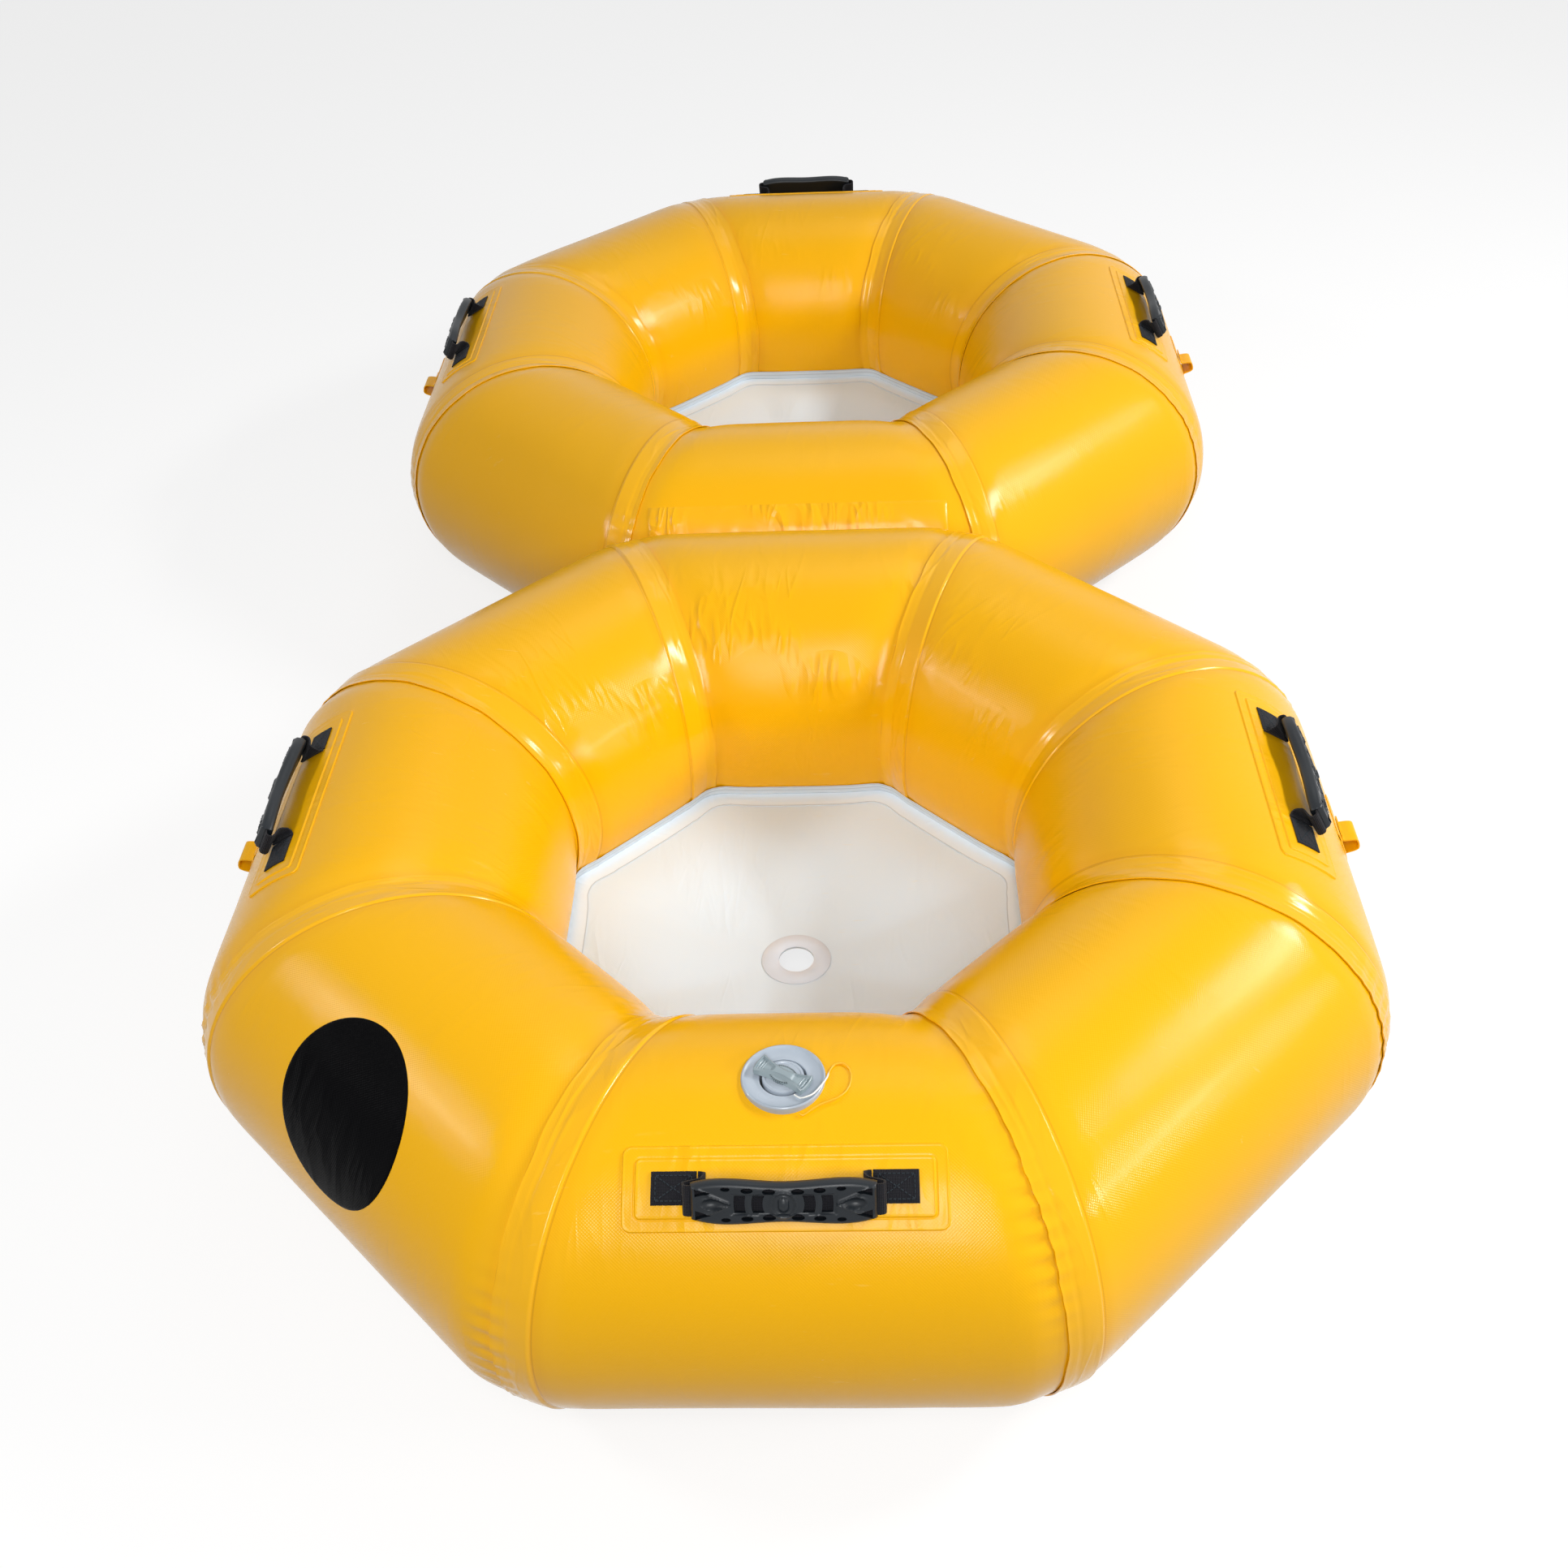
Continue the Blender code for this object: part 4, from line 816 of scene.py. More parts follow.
class RIVERTUBE_OT_tubes(bpy.types.Operator):
    """Add the sixteen fabric tubes and the lap band over each mitre"""

    bl_idname = "river_tube.tubes"
    bl_label = "Add Tubes"

    def execute(self, context):
        rings = context.scene.river_rings
        blank = open_tube(rings, "tube_blank", 1.2, rings.steps_along - 1, mitred=True)
        spots = places_of(blank)
        angle = np.arctan2(spots[:, 2], spots[:, 0])
        half_length = (rings.apothem + spots[:, 0]) * MITRE
        share = np.clip(spots[:, 1] / half_length, -1.0, 1.0)
        share = np.sign(share) * (1.0 - (1.0 - np.abs(share)) ** 1.4)
        for ring in RINGS:
            for side, place in enumerate(PLACES):
                name = f"{ring}_ring_tube_{place}"
                tube = duplicate(blank, f"{name}_fabric")
                along = share * (rings.apothem + (rings.tube_radius + rings.skin_rise) * np.cos(angle)) * MITRE
                laid, inset = lay_on_tube(rings, ring, side, angle, along, 0.0)
                move_to(tube, laid)
                map_cloth(tube, along, from_bottom(angle) * rings.tube_radius, math.tau * rings.tube_radius)
                before, after = lap_reach(rings, ring, side, -1.0), lap_reach(rings, ring, side, 1.0)
                note(tube, "edge_distance", inset - np.where(share < 0.0, before, after))
                folded = CREASED.get((ring, place), 0.25) * hump(angle % math.tau, 2.42, 0.42)
                note(tube, "creased", folded + 0.06)
                note(tube, "low_side", 0.8 * hump(angle + 0.10 * np.sin(9.0 * along), -0.72, 0.035))
                if (ring, place) == ("front", "front"):
                    self.open_for_valve(rings, tube)
                smooth(tube, 60.0)
                dress(tube, "tube fabric", nodes=[name])
        bpy.data.objects.remove(blank)
        self.add_bands(rings)
        return {"FINISHED"}

    def open_for_valve(self, rings, tube):
        """Removes the skin under the valve's flange."""
        middle = valve_frame(rings).translation
        open_all(tube)
        select_in_edit(tube, "FACE", lambda face: (
            (face.calc_center_median() - middle).xy.length < 0.026 and face.normal.z > 0.5))
        bpy.ops.mesh.delete(type="FACE")
        bpy.ops.object.mode_set(mode="OBJECT")

    def turn_out(self, band):
        """Turns a mirrored band's faces outwards again."""
        open_all(band)
        bpy.ops.mesh.flip_normals()
        bpy.ops.object.mode_set(mode="OBJECT")

    def add_bands(self, rings):
        """Adds the sixteen laps, each from just before a mitre over the end of the next tube."""
        blank = open_tube(rings, "band_blank", rings.lap_width, 25)
        spots = places_of(blank)
        angle = np.arctan2(spots[:, 2], spots[:, 0])
        share = 0.5 - 0.5 * np.cos(math.pi * (spots[:, 1] / rings.lap_width + 0.5))
        from_near = share * rings.lap_width
        from_far = rings.lap_width - from_near
        far = eased(from_far / 0.0045)
        flat = rings.clearance + 0.0013 * far - 0.0013 * (1.0 - far)
        flat = flat + 0.00035 * hump(from_far, 0.0042, 0.0012)
        flat = flat + 0.00035 * hump(from_near, 0.0, 0.0016)
        for ring in RINGS:
            for side, place in enumerate(PLACES):
                band = duplicate(blank, f"{ring}_ring_lap_{place}")
                half_length = (rings.apothem + (rings.tube_radius + rings.skin_rise) * np.cos(angle)) * MITRE
                wander = 0.0007 * np.sin(11.0 * angle + 2.1 * side) + 0.0004 * np.sin(23.0 * angle + side)
                shift = LAP_SHIFTS[ring][side]
                way = 1.0 if shift >= 0.0 else -1.0
                run = shift + way * (from_near - rings.lap_width / 2.0 + wander * (1.0 - share))
                weld = 0.0007 * hump(from_near, 0.0135, 0.0016)
                top = flat - weld - 0.0006 * hump(run, 0.0, 0.0026) * (from_near > 0.006)
                first, _ = lay_on_tube(rings, ring, side, angle, half_length - np.maximum(-run, 0.0), top)
                second, _ = lay_on_tube(
                    rings, ring, (side + 1) % len(PLACES), angle, -(half_length - np.maximum(run, 0.0)), top
                )
                move_to(band, np.where((run <= 0.0)[:, None], first, second))
                map_cloth(band, run, from_bottom(angle) * rings.tube_radius, math.tau * rings.tube_radius)
                if way < 0.0:
                    self.turn_out(band)
                tube_node = f"{ring}_ring_tube_{place}"
                dress_sheet(band, rings.lap_thickness, "lap fabric", "yellow_fabric", tube_node)
        bpy.data.objects.remove(blank)


class RIVERTUBE_OT_joining_strips(bpy.types.Operator):
    """Add the strips in the valleys between the rings"""

    bl_idname = "river_tube.joining_strips"
    bl_label = "Add Joining Strips"

    def execute(self, context):
        rings = context.scene.river_rings
        half_gap = rings.tube_radius - rings.press_depth
        half_length = 0.199
        edge = math.radians(51.0)
        meet = math.acos(half_gap / (rings.tube_radius + 0.0018)) - 0.02
        for name, sign in (("top_joining_strip", 1.0), ("bottom_joining_strip", -1.0)):
            strip, along, across = grid(f"{name}_fabric", 120, 44)
            x = (along - 0.5) * 2.0 * half_length
            swing = (across - 0.5) * 2.0
            angle = meet + (edge - meet) * np.abs(swing)
            halves = []
            for ring, side, way in (("front", 4, -1.0), ("rear", 0, 1.0)):
                lap = np.where(
                    way * x < 0.0, lap_reach(rings, ring, side, -1.0), lap_reach(rings, ring, side, 1.0)
                )
                past_lap = (rings.apothem + rings.tube_radius * np.cos(angle)) * MITRE - np.abs(x) - lap
                over_lap = 0.0011 * (1.0 - eased(past_lap / 0.006))
                rim = np.minimum(np.minimum((1.0 - np.abs(swing)) * 0.038, half_length - np.abs(x)), 0.003) / 0.003
                ripple = np.array([
                    noise.noise(Vector((a * 70.0 + b * 2.0, b * 3.0, sign * 5.0))) for a, b in zip(x, swing)
                ])
                height = rings.clearance + 0.0002 + 0.0011 * eased(rim) + over_lap + 0.0003 * ripple
                spots, _ = lay_on_tube(rings, ring, side, sign * angle, way * x, height)
                halves.append(spots)
            move_to(strip, np.where((swing <= 0.0)[:, None], halves[0], halves[1]))
            map_cloth(strip, x, swing * 0.06)
            dress_sheet(strip, 0.0012, "strip fabric", "yellow_fabric", name, offset=-1.0 if sign > 0.0 else 1.0)
        return {"FINISHED"}


class RIVERTUBE_OT_floors(bpy.types.Operator):
    """Add the sagging floors, their tapes and the film round the drain holes"""

    bl_idname = "river_tube.floors"
    bl_label = "Add Floors"

    steps_each_side = 24
    level_step = 0.1

    def execute(self, context):
        rings, sizes = context.scene.river_rings, context.scene.river_fittings
        for ring in RINGS:
            centre = Vector((0.0, RINGS[ring] * spacing(rings) / 2.0, 0.0))
            self.add_sheet(rings, sizes, ring, centre)
            self.add_tape(rings, sizes, ring)
            self.add_film(sizes, ring, centre)
        return {"FINISHED"}

    def wall_ring(self, rings, ring, height, stand):
        """Points round a ring's inner wall at a height over the ground."""
        rise = (height - axis_height(rings)) / (rings.tube_radius + rings.skin_rise)
        angle = math.pi - math.asin(max(-1.0, min(1.0, rise)))
        rows = []
        reach = (rings.apothem + rings.tube_radius * math.cos(angle)) * MITRE
        shares = (np.arange(self.steps_each_side) / self.steps_each_side) * 2.0 - 1.0
        for side in range(len(PLACES)):
            before, after = lap_reach(rings, ring, side, -1.0), lap_reach(rings, ring, side, 1.0)
            lap = np.where(shares < 0.0, before, after) + 0.003
            off = stand + rings.lap_thickness * (1.0 - eased(((1.0 - np.abs(shares)) * reach - lap) / 0.006))
            spots, _ = lay_on_tube(rings, ring, side, angle, shares * reach, off)
            spots[:, 2] = height
            rows.append(spots)
        return np.vstack(rows)

    def ring_blank(self, name, count):
        """A row of rings between two circles, each a circle extruded inwards."""
        steps = self.steps_each_side * len(PLACES)
        pick_none()
        bpy.ops.mesh.primitive_circle_add(vertices=steps, radius=1.0, fill_type="NOTHING")
        piece = named(name)
        open_all(piece)
        for step in range(1, count):
            bpy.ops.mesh.extrude_edges_move(TRANSFORM_OT_translate={"value": (0.0, 0.0, -self.level_step)})
        bpy.ops.object.mode_set(mode="OBJECT")
        return piece

    def lay_rings(self, piece, rows):
        """Moves each ring of a blank to its row of points, with level rows first to last by height."""
        steps = self.steps_each_side * len(PLACES)
        spots = places_of(piece)
        level = np.rint(-spots[:, 2] / self.level_step).astype(int)
        turn = np.mod(np.arctan2(spots[:, 1], spots[:, 0]), math.tau)
        first = -math.pi / 2.0 - HALF_TURN
        index = np.rint(np.mod(turn - first, math.tau) / (math.tau / steps)).astype(int) % steps
        table = np.stack(rows)
        laid = table[level, index]
        move_to(piece, laid)
        return laid

    def add_sheet(self, rings, sizes, ring, centre):
        """Adds a floor sheet that sags to a level flat round its drain hole."""
        flat, hem, count = 0.0425, 0.026, 26
        edge = self.wall_ring(rings, ring, sizes.floor_height, 0.0)
        steps = len(edge)
        turns = -math.pi / 2.0 - HALF_TURN + math.tau * np.arange(steps) / steps
        ring_of = np.column_stack((np.cos(turns), np.sin(turns), np.zeros(steps)))
        middle = np.array(centre)
        inner = middle + ring_of * flat
        rows = [edge]
        for step in range(count):
            share = step / (count - 1.0)
            reach = np.linalg.norm(edge[:, :2] - middle[:2], axis=1)
            start = middle + (edge - middle) * np.array([1.0, 1.0, 0.0]) * ((reach - hem) / reach)[:, None]
            spots = start * (1.0 - share) + inner * share
            pull = np.cos(8.0 * turns[:, None]) * 0.0009 * math.sin(math.pi * share)
            soft = np.array([noise.noise(Vector((p[0] * 13.0, p[1] * 13.0, 2.0))) for p in spots])
            drop = sizes.floor_sag * eased(np.full(steps, share))
            spots[:, 2] = sizes.floor_height - drop + pull[:, 0] + 0.0008 * soft * math.sin(math.pi * share)
            rows.append(spots)
        hole = middle + ring_of * sizes.drain_hole / 2.0
        hole[:, 2] = sizes.floor_height - sizes.floor_sag
        rows.append(hole)
        sheet = self.ring_blank(f"{ring}_ring_floor_sheet", len(rows))
        laid = self.lay_rings(sheet, rows)
        map_cloth(sheet, laid[:, 0], laid[:, 1])
        self.face_up(sheet)
        dress_sheet(sheet, 0.0018, "floor fabric", "white_fabric", f"{ring}_ring_floor")
        cut = 0.5 * abs(sum(
            (a[0] - middle[0]) * (b[1] - middle[1]) - (b[0] - middle[0]) * (a[1] - middle[1])
            for a, b in zip(edge, np.roll(edge, -1, axis=0))
        )) - math.pi * (sizes.drain_hole / 2.0) ** 2

    def face_up(self, piece):
        """Turns a sheet's faces to the upper side."""
        open_all(piece)
        close_outwards()
        if sum(face.normal.z * face.area for face in piece.data.polygons) < 0.0:
            bpy.ops.object.mode_set(mode="EDIT")
            bpy.ops.mesh.flip_normals()
            bpy.ops.object.mode_set(mode="OBJECT")

    def add_tape(self, rings, sizes, ring):
        """Adds the tape that climbs the wall and laps the floor's edge."""
        top = sizes.floor_height + sizes.tape_rise
        low = sizes.floor_height + 0.0012
        middle = np.array((0.0, RINGS[ring] * spacing(rings) / 2.0, 0.0))
        rows, across = [], []
        for step in range(9):
            share = step / 8.0
            groove = 0.0007 * hump(share, 0.45, 0.16)
            rows.append(self.wall_ring(rings, ring, top + (low - top) * share, 0.0016 - groove))
            across.append(-sizes.tape_rise * (1.0 - share))
        foot = rows[-1]
        reach = np.linalg.norm(foot[:, :2] - middle[:2], axis=1)
        for step in range(1, 9):
            share = step / 8.0
            spots = middle + (foot - middle) * ((reach - sizes.tape_width * share) / reach)[:, None]
            spots[:, 2] = low + 0.0006 * math.sin(math.pi * share)
            rows.append(spots)
            across.append(sizes.tape_width * share)
        tape = self.ring_blank(f"{ring}_ring_floor_tape_fabric", len(rows))
        level = np.rint(-places_of(tape)[:, 2] / self.level_step).astype(int)
        laid = self.lay_rings(tape, rows)
        map_cloth(tape, np.hypot(laid[:, 0], laid[:, 1]), np.array(across)[level])
        self.face_up(tape)
        dress_sheet(tape, 0.0008, "tape fabric", "white_fabric", f"{ring}_ring_floor_tape")

    def add_film(self, sizes, ring, centre):
        """Adds the film round a drain hole."""
        low = sizes.floor_height - sizes.floor_sag + 0.0003
        outer, inner = sizes.drain_ring / 2.0, sizes.drain_hole / 2.0
        film = lathe(f"{ring}_ring_drain_film", (
            (outer, low), (outer, low + 0.0004), (outer - 0.0008, low + 0.0008),
            (inner + 0.0008, low + 0.0008), (inner, low + 0.0004), (inner, low), (outer, low),
        ))
        film.data.transform(Matrix.Translation(centre))
        smooth(film)
        dress(film, "drain film", nodes=[f"{ring}_ring_drain_ring"])


def pivot_frame(rings):
    """Frame on the fold of a handle's webbing, in the side's frame: x along, y up its slope, z off it."""
    angle, flat = HANDLE_ANGLE, math.radians(60.0)
    reach = (rings.tube_radius + 0.0045) / math.cos(flat - angle)
    origin = Vector((reach * math.cos(angle), 0.0, reach * math.sin(angle)))
    up_slope = Vector((-math.sin(flat), 0.0, math.cos(flat)))
    off_skin = Vector((math.cos(flat), 0.0, math.sin(flat)))
    axes = Matrix((Vector((0.0, 1.0, 0.0)), up_slope, off_skin)).transposed().to_4x4()
    return Matrix.Translation(origin) @ axes


def grip_frame():
    """Frame at the middle of the grip, in the pivot's frame: x along it, y across it, z out of its face."""
    return Matrix.Translation((0.0, -0.012, 0.013)) @ Matrix.Rotation(GRIP_LEAN, 4, "X")


def grip_bow(sizes, x):
    """Height of the grip's bowed middle line over its ends' plane."""
    return sizes.grip_bow * (1.0 - (2.0 * x / sizes.grip_length) ** 2)


def grip_half_width(sizes, x):
    """Half the grip's width along it: a waist, two bellies and narrower ends."""
    share = np.abs(2.0 * x / sizes.grip_length)
    belly_at = 0.64
    swell = (1.0 - np.cos(math.pi * np.minimum(share, belly_at) / belly_at)) / 2.0
    fall = np.maximum(share - belly_at, 0.0) / (1.0 - belly_at)
    width = sizes.grip_waist + (sizes.grip_belly - sizes.grip_waist) * swell
    return (width - (sizes.grip_belly - sizes.grip_end) * fall ** 2) / 2.0


class RIVERTUBE_OT_handles(bpy.types.Operator):
    """Add the six carry handles with their patches, webbing and grips"""

    bl_idname = "river_tube.handles"
    bl_label = "Add Handles"

    def execute(self, context):
        rings, sizes = context.scene.river_rings, context.scene.river_fittings
        grip = self.make_grip(sizes)
        strap = self.make_strap(sizes)
        for ring, place, shift in HANDLES:
            side = PLACES.index(place)
            name = f"{ring}_ring_{place}_handle"
            self.add_patch(rings, sizes, ring, side, shift, name)
            self.add_sewn_ends(rings, sizes, ring, side, shift, name)
            pivot = side_frame(rings, ring, side) @ Matrix.Translation((0.0, shift, 0.0)) @ pivot_frame(rings)
            moved = duplicate(grip, f"{name}_moulded_grip")
            moved.data.transform(pivot @ grip_frame())
            dress(moved, "grip moulding", name, [f"{name}_grip"])
            free = duplicate(strap, f"{name}_free_webbing")
            free.data.transform(pivot)
            free.data.materials.append(bpy.data.materials["black webbing"])
            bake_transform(free)
            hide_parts(f"{name}_strap")
        bpy.data.objects.remove(grip)
        bpy.data.objects.remove(strap)
        return {"FINISHED"}

    def add_patch(self, rings, sizes, ring, side, shift, name):
        """Adds a welded patch with its raised panel and pressed edge lines."""
        patch, along, across = grid(f"{name}_welded_patch", 140, 64)
        half_length, half_width = sizes.patch_length / 2.0, sizes.patch_width / 2.0
        panel_length, panel_width = sizes.panel_length / 2.0, sizes.panel_width / 2.0
        x = crowded(along, half_length, (half_length, panel_length))
        y = crowded(across, half_width, (half_width, panel_width))
        x, y = rounded(x, y, half_length, half_width, 0.008)
        past = from_edge(x, y, panel_length, panel_width, 0.004)
        edge = -from_edge(x, y, half_length, half_width, 0.008)
        height = rings.clearance + 0.0010 + 0.0009 * (1.0 - eased((past + 0.0002) / 0.0008))
        height = height - 0.0005 * hump(past, 0.0013, 0.0006)
        height = height + 0.0003 * hump(past, -0.0010, 0.0006)
        height = height - 0.0011 * (1.0 - eased(edge / 0.0010)) + 0.0003 * hump(edge, 0.0016, 0.0007)
        wrap_on_tube(patch, rings, ring, side, shift + x, HANDLE_ANGLE + y / rings.tube_radius, height)
        dress_sheet(patch, 0.0008, "patch fabric", "yellow_fabric", f"{name}_patch")

    def add_sewn_ends(self, rings, sizes, ring, side, shift, name):
        """Adds the two sewn ends of the webbing with their box and cross stitches."""
        base = rings.clearance + 0.0012 + 0.0007
        top = base + sizes.webbing_thickness
        half_length, half_width = sizes.webbing_end / 2.0, sizes.webbing_width / 2.0
        for which, sign in (("first", -1.0), ("second", 1.0)):
            middle = shift + sign * (sizes.webbing_span - sizes.webbing_end) / 2.0
            pad, along, across = grid(f"{name}_{which}_sewn_end", 24, 16)
            x = (along - 0.5) * sizes.webbing_end
            y = (across - 0.5) * sizes.webbing_width
            edge = np.minimum(half_length - np.abs(x), half_width - np.abs(y))
            height = top - 0.0006 * (1.0 - eased(edge / 0.0016))
            wrap_on_tube(pad, rings, ring, side, middle + x, HANDLE_ANGLE + y / rings.tube_radius, height)
            dress_sheet(pad, 0.0016, "black webbing", "black_webbing", f"{name}_patch")
            stitches = self.make_stitches(sizes, f"{name}_{which}_stitches")
            spots = places_of(stitches)
            laid, _ = lay_on_tube(
                rings, ring, side, HANDLE_ANGLE + spots[:, 1] / rings.tube_radius, middle + spots[:, 0],
                top + 0.0001 + spots[:, 2],
            )
            move_to(stitches, laid)
            dress(stitches, "seam thread")

    def make_stitches(self, sizes, name):
        """Box and cross stitching on a sewn end, each stitch a short rounded bar."""
        half_length, half_width = sizes.webbing_end / 2.0 - 0.004, sizes.webbing_width / 2.0 - 0.0035
        corners = [(-half_length, -half_width), (half_length, -half_width),
                   (half_length, half_width), (-half_length, half_width)]
        lines = list(zip(corners, corners[1:] + corners[:1])) + [(corners[0], corners[2]), (corners[1], corners[3])]
        stitch = cylinder(
            "stitch", vertices=6, radius=0.00045, depth=0.0024, rotation=(0.0, math.pi / 2.0, 0.0)
        )
        made = []
        for start, end in lines:
            start, end = Vector((*start, 0.0)), Vector((*end, 0.0))
            count = max(int((end - start).length / 0.0034), 2)
            heading = math.atan2(end.y - start.y, end.x - start.x)
            for step in range(count):
                copy = duplicate(stitch, f"stitch_{len(made)}")
                spot = start.lerp(end, (step + 0.5) / count)
                copy.data.transform(Matrix.Translation(spot) @ Matrix.Rotation(heading, 4, "Z"))
                made.append(copy)
        bpy.data.objects.remove(stitch)
        take(made[0])
        for copy in made[1:]:
            copy.select_set(True)
        bpy.ops.object.join()
        made[0].name = name
        smooth(made[0], 40.0)
        return made[0]

    def make_grip(self, sizes):
        """The moulded grip: a waisted bowed bar with pressed relief, cut by its windows, holes and slot."""
        grip, along, across = grid("grip", 132, 40)
        x = (along - 0.5) * sizes.grip_length
        half = grip_half_width(sizes, x)
        y = (across - 0.5) * 2.0 * half
        move_to(grip, np.column_stack((x, y, np.zeros(len(x)))))
        modify(grip, "SOLIDIFY", thickness=sizes.grip_thickness, offset=0.0)
        spots = places_of(grip)
        x, y, z = spots[:, 0], spots[:, 1], spots[:, 2]
        half = grip_half_width(sizes, x)
        edge = np.minimum(half - np.abs(y), (sizes.grip_length / 2.0 - np.abs(x)) * 1.4)
        shoulder = 0.0042
        round_off = sizes.grip_thickness / 2.0 * (
            1.0 - np.sqrt(np.maximum(1.0 - (1.0 - np.clip(edge / shoulder, 0.0, 1.0)) ** 2, 0.0)))
        face = self.grip_face(x, y)
        upper = z > 0.0
        z = np.where(upper, z - round_off * 0.86 + face, z + round_off * 0.6)
        move_to(grip, np.column_stack((x, y, z + grip_bow(sizes, x))))
        map_cloth(grip, x, y)
        for cutter in self.grip_cutters(sizes):
            modify(grip, "BOOLEAN", operation="DIFFERENCE", solver="EXACT", object=cutter)
            bpy.data.objects.remove(cutter)
        smooth(grip, 38.0)
        return grip

    def grip_face(self, x, y):
        """Relief of the grip's face: a sunk middle, a ringed boss, and a framed eye in each end."""
        away = np.abs(x)
        sunk = -0.0015 * eased((0.0092 - np.abs(y)) / 0.0010) * eased((0.0440 - away) / 0.0030)
        ring = np.hypot(x / 0.0092, y / 0.0096)
        ringed = 0.0016 * hump(ring, 1.12, 0.14)
        boss = np.sqrt(np.maximum(1.0 - (x / 0.0046) ** 2 - (y / 0.0068) ** 2, 0.0)) * 0.0030
        arcs = 0.0006 * hump(np.hypot(x, y), 0.0288, 0.0016) * (np.abs(y) < 0.0090)
        slope = 0.0140 / 0.0320
        frame_line = np.abs(np.abs(y) - (away - 0.0425) * slope) / math.hypot(1.0, slope)
        on_end = eased((away - 0.0425) / 0.0010) * eased((0.0730 - away) / 0.0010)
        framed = 0.0016 * hump(frame_line, 0.0, 0.0010) * on_end
        inside = (np.abs(y) < (away - 0.0425) * slope) & (away < 0.0735)
        eye = np.hypot((away - 0.0575) / 0.0098, y / 0.0050)
        eyed = -0.0034 * np.maximum(1.0 - eye ** 2, 0.0) * inside
        lip = 0.0006 * hump(eye, 1.08, 0.10) * inside
        return sunk + ringed + boss + arcs + framed + eyed + lip - 0.0004 * inside

    def grip_cutters(self, sizes):
        """Shapes that cut the grip: the strap's slot, four windows, twelve oval holes and four corners."""
        deep, middle = 0.018, 0.010
        slot, along, across = grid("grip_slot", 24, 1)
        x = (along - 0.5) * sizes.grip_length * 1.1
        move_to(slot, np.column_stack((
            x, (across - 0.5) * (sizes.webbing_width + 0.001), grip_bow(sizes, x))))
        modify(slot, "SOLIDIFY", thickness=sizes.webbing_thickness + 0.001, offset=0.0)
        cutters = [slot]
        for sign in (-1.0, 1.0):
            for number, radius in enumerate((0.0215, 0.0360)):
                window, along, across = grid(f"grip_window_{number}", 6, 12)
                y = (across - 0.5) * 0.0150
                reach = radius + (along - 0.5) * 0.0090
                x = sign * np.sqrt(reach ** 2 - y ** 2)
                move_to(window, np.column_stack((x, y, np.full(len(x), middle))))
                modify(window, "SOLIDIFY", thickness=deep, offset=0.0)
                cutters.append(window)
        for x, y, long, wide in (
            (0.0117, 0.0112, 0.0108, 0.0052), (0.0295, 0.0122, 0.0100, 0.0048), (0.0470, 0.0134, 0.0078, 0.0038),
        ):
            for sign_x, sign_y in CORNERS:
                cutters.append(cylinder(
                    "grip_hole", vertices=20, radius=0.5, depth=deep, scale=(long, wide, 1.0),
                    location=(sign_x * x, sign_y * y, middle),
                ))
        for sign_x, sign_y in CORNERS:
            pick_none()
            bpy.ops.mesh.primitive_cylinder_add(
                vertices=3, radius=0.5, depth=deep, location=(sign_x * 0.0676, sign_y * 0.0097, middle),
                rotation=(0.0, 0.0, math.radians(90.0) * sign_x),
            )
            bpy.ops.transform.resize(value=(0.0178, 0.0084, 1.0))
            cutters.append(named("grip_corner"))
        return cutters

    def make_strap(self, sizes):
        """The free webbing: off the tube at one fold, through the grip and down to the other fold."""
        into_grip = grip_frame()
        level = 0.0003 - sizes.webbing_thickness / 2.0
        fold = sizes.webbing_span / 2.0 - sizes.webbing_end
        mouth = sizes.grip_length / 2.0
        half = [
            (fold - 0.0003, 0.0, level, 0.0),
            (fold - 0.0012, 0.0, level, 0.0),
            (fold - 0.0040, -0.0003, level + 0.0006, 0.04),
            (fold - 0.0062, -0.0018, level + 0.0032, 0.25),
            (fold - 0.0030, -0.0055, level + 0.0059, 0.75),
        ]
        for past, height, share in ((0.0030, -0.0084, 0.96), (0.0065, -0.0058, 1.0), (0.0056, -0.0015, 1.0),
                                    (0.0020, 0.0, 1.0)):
            spot = into_grip @ Vector((0.0, 0.0, height))
            half.append((mouth + past, spot.y, spot.z, share))
        for x in (0.96 * mouth, 0.6 * mouth, 0.3 * mouth):
            spot = into_grip @ Vector((0.0, 0.0, grip_bow(sizes, x)))
            half.append((x, spot.y, spot.z, 1.0))
        route = [Vector(row) for row in half] + [Vector((-row[0], *row[1:])) for row in reversed(half)]
        fine = smooth_curve(route, 6)

        def spot_at(point, offset):
            x, y, z, twist = point
            lean = GRIP_LEAN * twist
            return x, y + offset * math.cos(lean), z + offset * math.sin(lean)

        strap = ribbon("strap", fine, sizes.webbing_width, 6, spot_at)
        modify(strap, "SOLIDIFY", thickness=sizes.webbing_thickness * 0.9, offset=0.0)
        smooth(strap, 50.0)
        return strap


def smooth_curve(points, steps):
    """Points along a smooth curve through a route."""
    padded = [points[0] * 2.0 - points[1]] + list(points) + [points[-1] * 2.0 - points[-2]]
    fine = []
    for a, b, c, d in zip(padded, padded[1:], padded[2:], padded[3:]):
        for step in range(steps):
            t = step / steps
            fine.append(0.5 * ((2.0 * b) + (c - a) * t + (2.0 * a - 5.0 * b + 4.0 * c - d) * t ** 2
                               + (3.0 * b - a - 3.0 * c + d) * t ** 3))
    return fine + [points[-1]]


